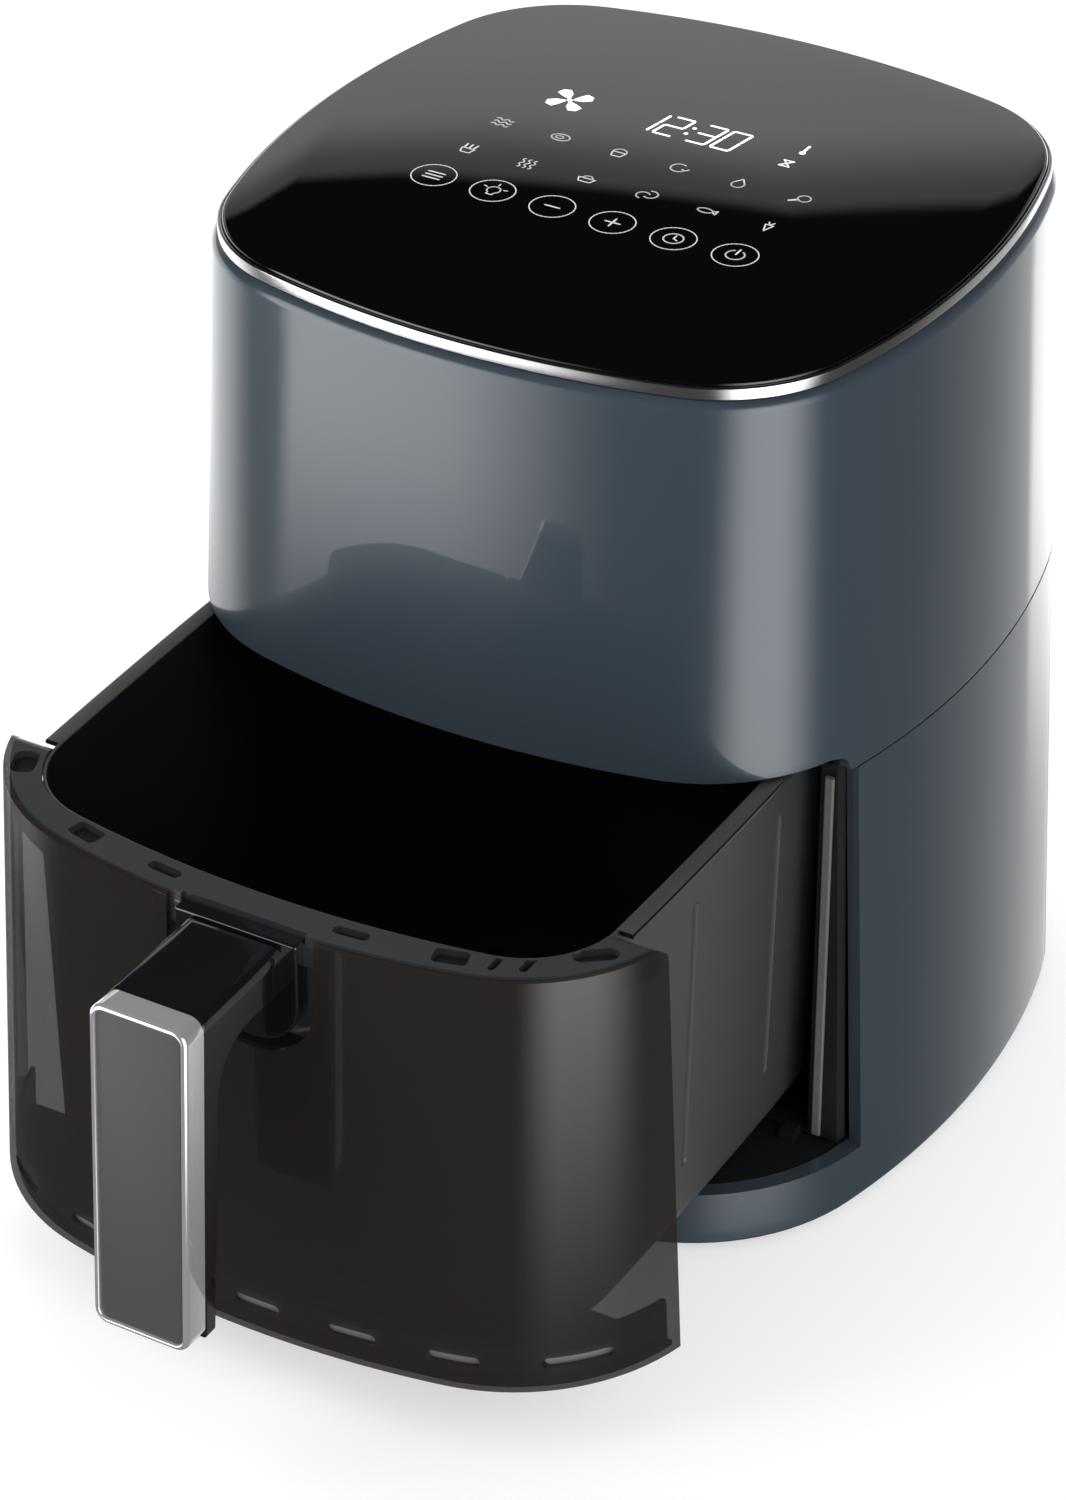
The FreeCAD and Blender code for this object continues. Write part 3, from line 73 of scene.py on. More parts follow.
glass_low, glass_high = box_mm("glass_panel")
lower_low, lower_high = box_mm("lower_housing")
upper_low, upper_high = box_mm("upper_housing")
ring_low, ring_high = box_mm("trim_ring")
basket_low, basket_high = box_mm("basket")
cover_low, cover_high = box_mm("window_cover")
vent_low, vent_high = box_mm("vent_strip")
pane_low, pane_high = box_mm("basket_window")
gasket_low, gasket_high = box_mm("window_frame")
grip_high = box_mm("handle_trim")[1]
arm_low, arm_high = box_mm("handle_body")
grille_low, grille_high = box_mm("rear_grille")
gland_low, gland_high = box_mm("cord_gland")
flange_high = box_mm("front_frame")[1]

# The closed drawer and the housing share one outline, whose middle is HOUSE_Y for the housing
# and DRAWER_Y for the drawer where it stands at rest. The cover ends COVER_Y in front of it.
COVER_Y = 74.0
HOUSE_Y = (glass_low.y + glass_high.y) / 2 * MM
DRAWER_Y = (cover_high.y + COVER_Y) * MM
PAN_Y = DRAWER_Y - 9.15 * MM

# An outline is half its width, half its depth, then the radii of its side, front and corner arcs.
BASE_Z, TOP_Z = lower_low.z, glass_high.z
BASE_OUTLINE = (134.5, 135.2, 292.5, 334.6, 73.2)
TOP_OUTLINE = (120.6, 119.6, 279.6, 290.0, 53.5)
PAN_Z, PAN_TOP_Z = basket_low.z, basket_high.z
PAN_BASE = (98.0, 99.4, 2600.0, 390.0, 30.0)
PAN_TOP = (101.4, 102.35, 2600.0, 390.0, 33.0)
OPENING_Y = 72.5


# -------- outlines
def sizes_at(low, high, z_low, z_high, z, inset):
    part = (z - z_low) / (z_high - z_low)
    return [a + (b - a) * part - inset for a, b in zip(low, high)]


def housing_sizes(z, inset=0.0):
    return sizes_at(BASE_OUTLINE, TOP_OUTLINE, BASE_Z, TOP_Z, z, inset)


def pan_sizes(z, inset=0.0):
    return sizes_at(PAN_BASE, PAN_TOP, PAN_Z, PAN_TOP_Z, z, inset)


def corner_centre(sizes):
    """Where a corner arc that touches both large arcs has its centre."""
    half_x, half_y, side_r, front_r, corner_r = sizes
    gap_x, gap_y = half_x - side_r, half_y - front_r
    span = math.hypot(gap_x, gap_y)
    near, far = side_r - corner_r, front_r - corner_r
    along = (near * near - far * far + span * span) / (2 * span)
    across = math.sqrt(near * near - along * along)
    x = gap_x - along * gap_x / span - across * gap_y / span
    y = along * gap_y / span - across * gap_x / span
    if x < 0 or y < 0:
        x = gap_x - along * gap_x / span + across * gap_y / span
        y = along * gap_y / span + across * gap_x / span
    return x, y


def side_end(sizes):
    """How far in front of the middle the side arc ends."""
    return corner_centre(sizes)[1] * sizes[2] / (sizes[2] - sizes[4])


def side_x(sizes, y):
    """Half the outline's width at a distance y from its middle."""
    half_x, _, side_r, _, corner_r = sizes
    centre_x, centre_y = corner_centre(sizes)
    if abs(y) <= side_end(sizes):
        return half_x - side_r + math.sqrt(side_r * side_r - y * y)
    return centre_x + math.sqrt(max(0.0, corner_r * corner_r - (abs(y) - centre_y) ** 2))


def front_half(sizes, steps, stop_y=None):
    """Points from the middle of the front to the right side, as (x, y) with y negative.
    With stop_y the corner ends at that y, and otherwise where the side arc begins."""
    half_x, half_y, side_r, front_r, corner_r = sizes
    centre_x, centre_y = corner_centre(sizes)
    sweep = math.asin(centre_x / (front_r - corner_r))
    points = []
    for turn in evenly(0.0, sweep, steps[0]):
        points.append((front_r * math.sin(turn), -(half_y - front_r + front_r * math.cos(turn))))
    start = math.pi / 2 - sweep
    end = math.asin(centre_y / (side_r - corner_r))
    tangent_y = side_end(sizes)
    if stop_y is not None and stop_y > tangent_y:
        end = math.asin((stop_y - centre_y) / corner_r)
    for turn in evenly(start, end, steps[1], 1):
        points.append((centre_x + corner_r * math.cos(turn),
                       -(centre_y + corner_r * math.sin(turn))))
    if stop_y is not None and stop_y <= tangent_y:
        points[-1] = (side_x(sizes, stop_y), -stop_y)
    return points


def outline(sizes, steps=(14, 16), side_steps=28, marks=()):
    """The whole outline, counter-clockwise from the middle of the front. marks are distances
    in front of the middle where both side arcs get a point of their own."""
    right = front_half(sizes, steps)
    tangent_y = -right[-1][1]
    places = evenly(-tangent_y, tangent_y, side_steps)[1:-1]
    for mark in marks:
        nearest = min(range(len(places)), key=lambda i: abs(places[i] + mark))
        places[nearest] = -min(mark, tangent_y - 0.01)
    right += [(side_x(sizes, y), y) for y in sorted(places)]
    right += [(x, -y) for x, y in reversed(front_half(sizes, steps))]
    return right + [(-x, y) for x, y in reversed(right[1:-1])]


# -------- mesh helpers
def shade(mesh, smooth=True):
    for polygon in mesh.polygons:
        polygon.use_smooth = smooth


def add_object(name, data):
    made = bpy.data.objects.new(name, data)
    bpy.context.scene.collection.objects.link(made)
    return made


def mesh_from(name, verts, faces):
    mesh = bpy.data.meshes.new(name)
    mesh.from_pydata([tuple(c * MM for c in v) for v in verts], [], faces)
    return mesh


def object_from(name, verts, faces, smooth=True):
    mesh = mesh_from(name, verts, faces)
    mesh.validate()
    made = add_object(name, mesh)
    tidy = bmesh.new()
    tidy.from_mesh(mesh)
    bmesh.ops.recalc_face_normals(tidy, faces=tidy.faces)
    tidy.to_mesh(mesh)
    tidy.free()
    shade(mesh, smooth)
    return made


def shift(points, y, z):
    return [(x, py + y / MM, z) for x, py in points]


def apply_modifiers(obj):
    """Turn the modified shape into the object's own mesh."""
    bpy.context.view_layer.update()
    graph = bpy.context.evaluated_depsgraph_get()
    mesh = bpy.data.meshes.new_from_object(obj.evaluated_get(graph))
    obj.modifiers.clear()
    obj.data = mesh
    return obj


def carve(obj, cutters):
    """Cut each cutter out of the object, then remove the cutters."""
    for cutter in cutters:
        step = obj.modifiers.new("carve", "BOOLEAN")
        step.operation = "DIFFERENCE"
        step.solver = "EXACT"
        step.object = cutter
    apply_modifiers(obj)
    for cutter in cutters:
        bpy.data.objects.remove(cutter)
    return obj


def soften(obj, width, segments=3, angle=35):
    """Round the sharp edges by width millimetres and even out the normals."""
    bevel = obj.modifiers.new("edges", "BEVEL")
    bevel.width = width * MM
    bevel.segments = segments
    bevel.limit_method = "ANGLE"
    bevel.angle_limit = math.radians(angle)
    bevel.use_clamp_overlap = True
    even = obj.modifiers.new("normals", "WEIGHTED_NORMAL")
    even.keep_sharp = True
    even.weight = 60
    return apply_modifiers(obj)


def sharp_by_angle(obj, angle):
    tidy = bmesh.new()
    tidy.from_mesh(obj.data)
    for edge in tidy.edges:
        wide = len(edge.link_faces) != 2 or edge.calc_face_angle(0) > math.radians(angle)
        edge.smooth = not wide
    tidy.to_mesh(obj.data)
    tidy.free()


def ring_faces(count, rings, closed):
    """Quads between rings of count points each. closed joins the last ring to the first."""
    faces = []
    for ring in range(rings if closed else rings - 1):
        here, there = ring * count, (ring + 1) % rings * count
        for step in range(count):
            after = (step + 1) % count
            faces.append((here + step, here + after, there + after, there + step))
    return faces


def strip_faces(low, high):
    """Quads between two rows of point numbers."""
    return [(low[i], low[i + 1], high[i + 1], high[i]) for i in range(len(high) - 1)]


def swept(name, rings, closed=True, cap=False):
    """A skin through rings with the same number of points."""
    count = len(rings[0])
    verts = [point for ring in rings for point in ring]
    faces = ring_faces(count, len(rings), closed)
    if cap:
        faces.append(tuple(range(count)))
        faces.append(tuple(range((len(rings) - 1) * count, len(rings) * count)))
    return object_from(name, verts, faces)


def arc(start, end, turn, radius, steps=6):
    """Points on a circle about turn, from one angle to another in degrees."""
    return [(turn[0] + radius * cosd(a), turn[1] + radius * sind(a))
            for a in evenly(start, end, steps)]


def rounded_edge(radius, level, step=15, inset=0.0):
    """Insets and levels of an edge that starts upright at a level and turns inwards."""
    return [(inset + radius * (1 - cosd(a)), level + radius * sind(a)) for a in range(step, 91, step)]


def block_faces(count, start=0):
    """Both ends and then the sides of a block with count points at each end."""
    low, high = [range(first, first + count) for first in (start, start + count)]
    sides = [(low[i], low[(i + 1) % count], high[(i + 1) % count], high[i]) for i in range(count)]
    return [tuple(low), tuple(high)] + sides


def prism(name, points, low, high, axis="y"):
    """A straight block along an axis, through an outline on the other two axes."""
    verts = []
    for level in (low, high):
        for a, b in points:
            verts.append({"x": (level, a, b), "y": (a, level, b), "z": (a, b, level)}[axis])
    return object_from(name, verts, block_faces(len(points)))


def front_row(z, inset, stop_y, y, steps=(16, 18)):
    """The housing's outline in front of stop_y as one row of points, left to right."""
    right = front_half(housing_sizes(z, inset), steps, stop_y)
    return shift([(-px, py) for px, py in reversed(right[1:])] + right, y, z)


def grid_wall(name, outer, inner):
    """A closed wall between two grids that have the same rows and columns."""
    rows, columns = len(outer), len(outer[0])
    verts = [point for row in outer + inner for point in row]
    depth = rows * columns
    faces = []
    for row in range(rows - 1):
        for column in range(columns - 1):
            here = row * columns + column
            quad = (here, here + 1, here + columns + 1, here + columns)
            faces.append(quad)
            faces.append(tuple(depth + corner for corner in reversed(quad)))
    for column in range(columns - 1):
        for here in (column, (rows - 1) * columns + column):
            faces.append((here, here + 1, depth + here + 1, depth + here))
    for row in range(rows - 1):
        for here in (row * columns, row * columns + columns - 1):
            faces.append((here, here + columns, depth + here + columns, depth + here))
    return object_from(name, verts, faces)


def merged(name, pieces):
    """Several meshes as one object."""
    whole = bmesh.new()
    for piece in pieces:
        whole.from_mesh(piece.data)
    mesh = bpy.data.meshes.new(name)
    whole.to_mesh(mesh)
    whole.free()
    for piece in pieces:
        bpy.data.objects.remove(piece)
    return add_object(name, mesh)


def rounded_box(half_x, half_z, radius, x=0.0, z=0.0, steps=6):
    points = []
    for turn, (side_a, side_b) in enumerate(((1, -1), (1, 1), (-1, 1), (-1, -1))):
        centre = (x + side_a * (half_x - radius), z + side_b * (half_z - radius))
        points += arc(90 * (turn - 1), 90 * turn, centre, radius, steps)
    return points


# -------- materials
LOOKS = {}


def add_node(tree, kind, values=()):
    """A new shader node with some of its inputs set."""
    made = tree.nodes.new("ShaderNode" + kind)
    for socket, value in dict(values).items():
        made.inputs[socket].default_value = value
    return made


def finish(name, color, rough, metallic=0.0, coat=0.0, coat_rough=0.05, grain=400.0, bump=0.02,
           vary=0.08, rough_vary=0.06, stretch=(1, 1, 1), sheen=0.0, alpha=1.0, transmission=0.0,
           emission=0.0, wear=0.0, spec=0.5):
    """A surface with its own grain: colour, roughness and height all vary over it."""
    made = bpy.data.materials.new(name)
    made.use_nodes = True
    tree = made.node_tree
    tree.nodes.clear()
    link = tree.links.new
    out = add_node(tree, "OutputMaterial")
    shader = add_node(tree, "BsdfPrincipled", {
        "Metallic": metallic, "Coat Weight": coat, "Coat Roughness": coat_rough,
        "Sheen Weight": sheen, "Alpha": alpha, "Transmission Weight": transmission,
        "IOR": 1.45, "Specular IOR Level": spec})
    link(shader.outputs[0], out.inputs[0])
    where = add_node(tree, "TexCoord")
    scale = add_node(tree, "Mapping", {"Scale": stretch})
    link(where.outputs["Object"], scale.inputs[0])
    broad = add_node(tree, "TexNoise", {"Scale": 9.0, "Detail": 5.0})
    fine = add_node(tree, "TexNoise", {"Scale": grain, "Detail": 3.0})
    link(scale.outputs[0], broad.inputs["Vector"])
    link(scale.outputs[0], fine.inputs["Vector"])
    tint = add_node(tree, "Mix")
    tint.data_type = "RGBA"
    tint.inputs["A"].default_value = (*[c * (1 - vary) for c in color], 1)
    tint.inputs["B"].default_value = (*[min(1.0, c * (1 + vary)) for c in color], 1)
    link(broad.outputs["Fac"], tint.inputs["Factor"])
    base = tint.outputs["Result"]
    if wear:
        patch = add_node(tree, "TexVoronoi", {"Scale": 60.0})
        link(scale.outputs[0], patch.inputs["Vector"])
        ramp = add_node(tree, "MapRange", {"From Min": 0.0, "From Max": 0.12, "To Min": wear,
                                           "To Max": 0.0})
        link(patch.outputs["Distance"], ramp.inputs["Value"])
        worn = add_node(tree, "Mix")
        worn.data_type = "RGBA"
        worn.inputs["B"].default_value = (*[min(1.0, c * 1.8 + 0.02) for c in color], 1)
        link(base, worn.inputs["A"])
        link(ramp.outputs[0], worn.inputs["Factor"])
        base = worn.outputs["Result"]
    link(base, shader.inputs["Base Color"])
    span = add_node(tree, "MapRange", {"From Min": 0.3, "From Max": 0.7,
                                       "To Min": max(0.0, rough - rough_vary),
                                       "To Max": min(1.0, rough + rough_vary)})
    link(broad.outputs["Fac"], span.inputs["Value"])
    link(span.outputs[0], shader.inputs["Roughness"])
    relief = add_node(tree, "Bump", {"Strength": bump, "Distance": 0.0004})
    link(fine.outputs["Fac"], relief.inputs["Height"])
    link(relief.outputs[0], shader.inputs["Normal"])
    if emission:
        link(base, shader.inputs["Emission Color"])
        shader.inputs["Emission Strength"].default_value = emission
    LOOKS[name] = made
    return made


finish("body_paint", (0.048, 0.067, 0.086), 0.30, metallic=0.2, coat=1.0, coat_rough=0.03,
       grain=2500, bump=0.01, vary=0.03, rough_vary=0.02)
finish("base_plastic", (0.02, 0.02, 0.022), 0.55, grain=900, bump=0.12, wear=0.1)
finish("foot_rubber", (0.015, 0.015, 0.015), 0.8, grain=700, bump=0.25, wear=0.2)
finish("bright_trim", (0.80, 0.80, 0.81), 0.16, metallic=1.0, grain=300, stretch=(1, 1, 14),
       bump=0.03, vary=0.03, rough_vary=0.04)
finish("panel_glass", (0.002, 0.002, 0.0025), 0.02, coat=1.0, coat_rough=0.01, grain=60,
       bump=0.0015, vary=0.2, rough_vary=0.02)
finish("circuit_board", (0.02, 0.12, 0.05), 0.4, grain=300, bump=0.1, wear=0.4)
finish("display_case", (0.04, 0.04, 0.04), 0.5, grain=600, bump=0.1)
finish("inner_black", (0.010, 0.010, 0.011), 0.5, grain=1200, bump=0.15)
finish("guide_grey", (0.15, 0.15, 0.147), 0.42, grain=1200, bump=0.1, wear=0.1)
finish("chamber_steel", (0.012, 0.012, 0.013), 0.42, metallic=0.3, grain=900, bump=0.1, wear=0.15)
finish("reflector_steel", (0.6, 0.6, 0.58), 0.35, metallic=1.0, grain=120, bump=0.06,
       rough_vary=0.12)
finish("element_steel", (0.22, 0.17, 0.14), 0.45, metallic=0.9, grain=500, bump=0.1, vary=0.3)
finish("guard_steel", (0.5, 0.5, 0.5), 0.3, metallic=1.0, grain=500, bump=0.05)
finish("lamp_glass", (0.85, 0.85, 0.82), 0.35, grain=500, bump=0.1, transmission=0.6)
finish("motor_steel", (0.42, 0.42, 0.42), 0.35, metallic=1.0, grain=400, bump=0.05)
finish("fan_metal", (0.55, 0.55, 0.55), 0.35, metallic=1.0, grain=300, bump=0.06, stretch=(1, 6, 1))
finish("screw_steel", (0.5, 0.5, 0.5), 0.3, metallic=1.0, grain=700, bump=0.05)
finish("basket_coat", (0.075, 0.075, 0.074), 0.36, metallic=0.35, grain=2600, bump=0.12, vary=0.08,
       rough_vary=0.05, wear=0.08)
finish("basket_inside", (0.008, 0.008, 0.009), 0.38, grain=2600, bump=0.15, vary=0.2, wear=0.05)
finish("rim_edge", (0.10, 0.104, 0.093), 0.34, metallic=0.5, grain=2600, bump=0.1)
finish("window_glass", (0.06, 0.05, 0.045), 0.03, alpha=0.35, coat=0.6, grain=40, bump=0.002,
       rough_vary=0.01)
finish("gasket_rubber", (0.012, 0.012, 0.012), 0.6, grain=900, bump=0.15)
finish("front_plastic", (0.034, 0.036, 0.037), 0.26, grain=1500, bump=0.05, coat=0.4, vary=0.1,
       rough_vary=0.05, wear=0.06)
finish("smoked_cover", (0.022, 0.019, 0.017), 0.04, alpha=0.74, coat=1.0, coat_rough=0.02, grain=30,
       bump=0.002, rough_vary=0.015)
finish("vent_grey", (0.20, 0.20, 0.195), 0.4, grain=900, bump=0.08)
finish("handle_black", (0.006, 0.006, 0.007), 0.12, coat=1.0, coat_rough=0.04, grain=900, bump=0.01,
       rough_vary=0.03)
# painted highlight: the handle's chrome glows a little (emission 0.08), which makes it brighter than its
# reflections alone would
finish("handle_chrome", (0.88, 0.88, 0.89), 0.06, metallic=0.82, grain=60, bump=0.004, vary=0.02,
       rough_vary=0.02, emission=0.08, coat=0.6)
finish("insert_grey", (0.062, 0.062, 0.064), 0.34, grain=1500, bump=0.06, rough_vary=0.05)
finish("crisper_coat", (0.012, 0.012, 0.013), 0.4, metallic=0.2, grain=1800, bump=0.12, wear=0.08)
finish("silicone", (0.03, 0.03, 0.03), 0.65, grain=900, bump=0.1, sheen=0.2)
finish("panel_ink", (0.85, 0.87, 0.9), 0.4, emission=0.9, grain=500, bump=0.0, vary=0.03)
finish("panel_ink_soft", (0.50, 0.51, 0.53), 0.4, emission=0.45, grain=500, bump=0.0, vary=0.03)

slot_of = {row["node"]: row["material_slot"] for row in frame["record"]["subparts"]}


def paint(obj, look):
    obj.data.materials.clear()
    obj.data.materials.append(LOOKS[look])


for label, node in frame["nodes"].items():
    paint(node, slot_of[label])
    shade(node.data, False)


def stand_in(obj, body, label, look=None, also=()):
    """A finer piece that stands for a CAD node."""
    paint(obj, look or slot_of[label])
    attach(obj, body)
    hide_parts(label, *also)
    return obj


# -------- lower housing
WALL, CHEEK = 3.0, 5.0
SILL_Z, VISOR_Z = 23.0, 178.5
SEAM_LOW, SEAM_HIGH = lower_high.z, upper_low.z


def outward(obj):
    """Turn every face so that it looks away from the housing's upright middle line."""
    middle = Vector((0, HOUSE_Y, 0))
    total = 0.0
    for polygon in obj.data.polygons:
        away = polygon.center - middle
        away.z = 0
        total += polygon.normal.dot(away) * polygon.area
    if total < 0:
        obj.data.flip_normals()


MARK_GAP = 3.5
marks = (OPENING_Y, OPENING_Y - MARK_GAP)
# the foot of the wall is rounded, and its full outline starts 1.5 mm above the lower edge
FOOT_R = 1.5
foot_levels = [(0.04 + FOOT_R * (1 - sind(a)),
                BASE_Z + FOOT_R * (1 - cosd(a))) for a in (0, 22, 45, 67, 90)]
foot_levels += [(0.0, 9.0), (0.0, 16.0), (0.0, SILL_Z)]
verts = []
for inset, z in foot_levels:
    verts += shift(outline(housing_sizes(z, inset), marks=marks), HOUSE_Y, z)
count = len(verts) // len(foot_levels)
faces = ring_faces(count, len(foot_levels), False)
sill_row = verts[-count:]
open_row = [i for i, point in enumerate(sill_row) if point[1] - HOUSE_Y / MM >= -OPENING_Y - 0.02]
previous = [len(verts) - count + i for i in open_row]
rim = [previous[0], previous[-1]]
for z in evenly(SILL_Z, SEAM_LOW, 12, 1):
    ring = shift(outline(housing_sizes(z), marks=marks), HOUSE_Y, z)
    row = list(range(len(verts), len(verts) + len(open_row)))
    verts += [ring[i] for i in open_row]
    faces += strip_faces(previous, row)
    rim += [row[0], row[1], row[-2], row[-1]]
    previous = row


def shell_with_wall(name, verts, faces, rim, depth, hole):
    """A skin thickened inwards: WALL thick at the rim, depth elsewhere, with one hole cut."""
    mesh = mesh_from(name, verts, faces)
    made = add_object(name, mesh)
    shade(mesh)
    outward(made)
    group = made.vertex_groups.new(name="rim")
    group.add(sorted(set(rim)), 1.0, "REPLACE")
    wall = made.modifiers.new("wall", "SOLIDIFY")
    wall.thickness = depth * MM
    wall.offset = -1.0
    wall.use_even_offset = False
    wall.vertex_group = "rim"
    wall.thickness_vertex_group = WALL / depth
    apply_modifiers(made)
    carve(made, [hole])
    return soften(made, 0.7, 3, 40)


BACK_Y = HOUSE_Y / MM + 100
gland_middle = (gland_low + gland_high) / 2
GLAND_HOLE_R = 7.9
gland_circle = arc(0, 360, (gland_middle.x, gland_middle.z), GLAND_HOLE_R, 32)[:-1]
lower_shell = shell_with_wall("lower_shell", verts, faces, rim, CHEEK,
                              prism("gland_hole", gland_circle, BACK_Y, BACK_Y + 60))
stand_in(lower_shell, "housing", "lower_housing")
ledge_rows = [[], []]
for z in (SILL_Z - 2.5, SILL_Z - 0.05):
    for row, inset in zip(ledge_rows, (1.0, 6.0)):
        row.append(front_row(z, inset, 60.5, HOUSE_Y))
sill_ledge = grid_wall("sill_ledge", *ledge_rows)
paint(soften(sill_ledge, 0.3), "body_paint")
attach(sill_ledge, "housing")

# -------- upper housing
CORNER_R = 8.0
# the visor's corners end at CORNER_Y in front of the middle, and the wall goes on from WALL_Y
CORNER_Y, WALL_Y = OPENING_Y + CORNER_R, OPENING_Y - MARK_GAP
FRONT_STEPS = (14, 14)


def upper_ring(z, inset, between):
    """A full ring with points at CORNER_Y and WALL_Y in front of the middle on both sides."""
    sizes = housing_sizes(z, inset)
    right = front_half(sizes, FRONT_STEPS, CORNER_Y)
    mids = evenly(CORNER_Y, WALL_Y, 4)[1:-1] if between else []
    right += [(side_x(sizes, y), -y) for y in mids]
    right += [(side_x(sizes, y), y) for y in evenly(-WALL_Y, side_end(sizes), 26)]
    right += [(x, -y) for x, y in reversed(front_half(sizes, FRONT_STEPS))][1:]
    return right


def both_sides(right):
    return right + [(-x, y) for x, y in reversed(right[1:-1])]


verts, faces, rim = [], [], []
n_front = sum(FRONT_STEPS) + 1
low_levels = evenly(SEAM_HIGH, VISOR_Z, 6)
previous = None
for z in low_levels:
    right = upper_ring(z, 0.0, False)
    bend = VISOR_Z - CORNER_R
    edge_y = OPENING_Y
    if z > bend:
        edge_y = CORNER_Y - math.sqrt(max(0.0, CORNER_R ** 2 - (z - bend) ** 2))
    sizes = housing_sizes(z)
    open_right = [(side_x(sizes, edge_y), -edge_y)] + right[n_front:]
    start = len(verts)
    if z == low_levels[-1]:
        verts += shift(both_sides(right), HOUSE_Y, z)
        full = list(range(start, len(verts)))
        row = full[n_front - 1:len(full) - n_front + 2]
    else:
        verts += shift(open_right + [(-x, y) for x, y in reversed(open_right[:-1])], HOUSE_Y, z)
        row = list(range(start, len(verts)))
        rim += [row[0], row[1], row[-2], row[-1]]
    if previous:
        faces += strip_faces(previous, row)
    previous = row
rim += full[:n_front] + full[len(full) - n_front + 1:]
SHOULDER_R = 4.0
shoulder_z = upper_high.z - SHOULDER_R
upper_profile = [(0.0, z) for z in evenly(VISOR_Z + 3, shoulder_z, 10)]
upper_profile += rounded_edge(SHOULDER_R, shoulder_z) + [(6.0, upper_high.z)]
below = None
for inset, z in upper_profile:
    ring = both_sides(upper_ring(z, inset, True))
    size = len(ring)
    now = list(range(len(verts), len(verts) + size))
    verts += shift(ring, HOUSE_Y, z)
    if below:
        faces += [(below[i], below[(i + 1) % size], now[(i + 1) % size], now[i]) for i in range(size)]
    else:
        # the first ring has three more points than the visor's ring at each end of the opening
        short = len(full)
        partners, place = [], 0
        for i in range(short):
            partners.append(place)
            place += 4 if i in (n_front - 1, short - n_front) else 1
        for i in range(short):
            after = (i + 1) % short
            top = list(range(partners[i], (partners[after] if after else size) + 1))
            faces.append((full[i], full[after], *[now[t % size] for t in reversed(top)]))
        rim += [now[i] for i in partners[:n_front] + partners[short - n_front + 1:]]
    below = now
OUTLET_GAP = 0.3
outlet_middle = (grille_low + grille_high) / 2
outlet_half = (grille_high - grille_low) / 2
outlet = rounded_box(outlet_half.x + OUTLET_GAP, outlet_half.z + OUTLET_GAP, 1.0, 0.0, outlet_middle.z)
upper_shell = shell_with_wall("upper_shell", verts, faces, rim, CHEEK,
                              prism("outlet", outlet, BACK_Y, BACK_Y + 60))
stand_in(upper_shell, "housing", "upper_housing")


# -------- trim ring and glass
def housing_ring(inset, z):
    return shift(outline(housing_sizes(TOP_Z, inset)), HOUSE_Y, z)


# each step is an inset and how far it lies below the ring's top, and then the seat of the glass
ring_steps = [(1.5, 0.6), (1.55, 0.3), (1.75, 0.07), (2.0, 0.0), (2.6, 0.0), (2.8, 0.1), (2.9, 0.3)]
SEAT_Z = ring_low.z + 1.2
ring_profile = [(1.5, ring_low.z)] + [(inset, ring_high.z - drop) for inset, drop in ring_steps]
ring_profile += [(2.9, SEAT_Z), (6.9, SEAT_Z), (6.9, ring_low.z)]
trim = swept("trim_band", [housing_ring(inset, z) for inset, z in ring_profile])
sharp_by_angle(trim, 40)
stand_in(trim, "housing", "trim_ring")

GLASS_TOP = TOP_Z - 0.05
GLASS_INSET, GLASS_R = 3.0, 1.25
glass_profile = [(GLASS_INSET, glass_low.z), (GLASS_INSET, GLASS_TOP - GLASS_R)]
glass_profile += rounded_edge(GLASS_R, GLASS_TOP - GLASS_R, inset=GLASS_INSET)
glass = swept("glass_top", [housing_ring(inset, z) for inset, z in glass_profile], False, True)
sharp_by_angle(glass, 50)
stand_in(glass, "housing", "glass_panel")


# -------- smoked cover
OUT = DRAWER_Y / MM
COVER_R = 4.0


def rounded_stop(z, back_y, top_z, radius):
    """How far in front of the middle a wall with a rounded top corner ends at a level."""
    if z <= top_z - radius:
        return back_y
    rise = z - (top_z - radius)
    return back_y + radius - math.sqrt(max(0.0, radius * radius - rise * rise))


def rounded_levels(low, top_z, radius, steps):
    bend_z = top_z - radius
    return evenly(low, bend_z, steps) + [z for _, z in rounded_edge(radius, bend_z)]


def front_wall(name, low, top_z, insets, back_y, radius, steps):
    grids = [[], []]
    for z in rounded_levels(low, top_z, radius, steps):
        stop = rounded_stop(z, back_y, top_z, radius)
        for grid, inset in zip(grids, insets):
            grid.append(front_row(z, inset, stop, DRAWER_Y))
    return grid_wall(name, *grids)


cover = front_wall("cover_shell", cover_low.z, cover_high.z, (0.0, 2.0), COVER_Y, COVER_R, 14)


def boss_shape(top_x, top_z, centre_x, centre_z, radius):
    """The boss from the front: straight sides and two rounded lower corners."""
    return ([(top_x, top_z), (-top_x, top_z)]
            + arc(180, 270, (-centre_x, centre_z), radius, 10)
            + arc(270, 360, (centre_x, centre_z), radius, 10))


cutters = [prism("boss_hole", boss_shape(26.0, 215.0, 7.0, 153.0, 19.0), OUT - 160, OUT - 110)]
for step in range(7):
    vent = rounded_box(8.25, 2.0, 1.95, 6.0 + 33.0 * (step - 3), (vent_low.z + vent_high.z) / 2)
    cutters.append(prism(f"vent_{step}", vent, OUT - 160, OUT - 60))
carve(cover, cutters)
stand_in(soften(cover, 0.35, 2, 50), "drawer", "window_cover")

strip = front_wall("vent_band", vent_low.z, vent_high.z, (2.15, 3.4), 78.0, 0.01, 2)
stand_in(strip, "drawer", "vent_strip")

# -------- drawer front frame
FLANGE_TOP, FLANGE_R, FLANGE_Y = flange_high.z, 6.0, 74.4
FLANGE_INSET, SKIRT_INSET = 2.15, 4.1
SKIRT_TOP = FLANGE_TOP - 2.9


def flange_row(z, inset):
    return front_row(z, inset, rounded_stop(z, FLANGE_Y, FLANGE_TOP, FLANGE_R), DRAWER_Y)


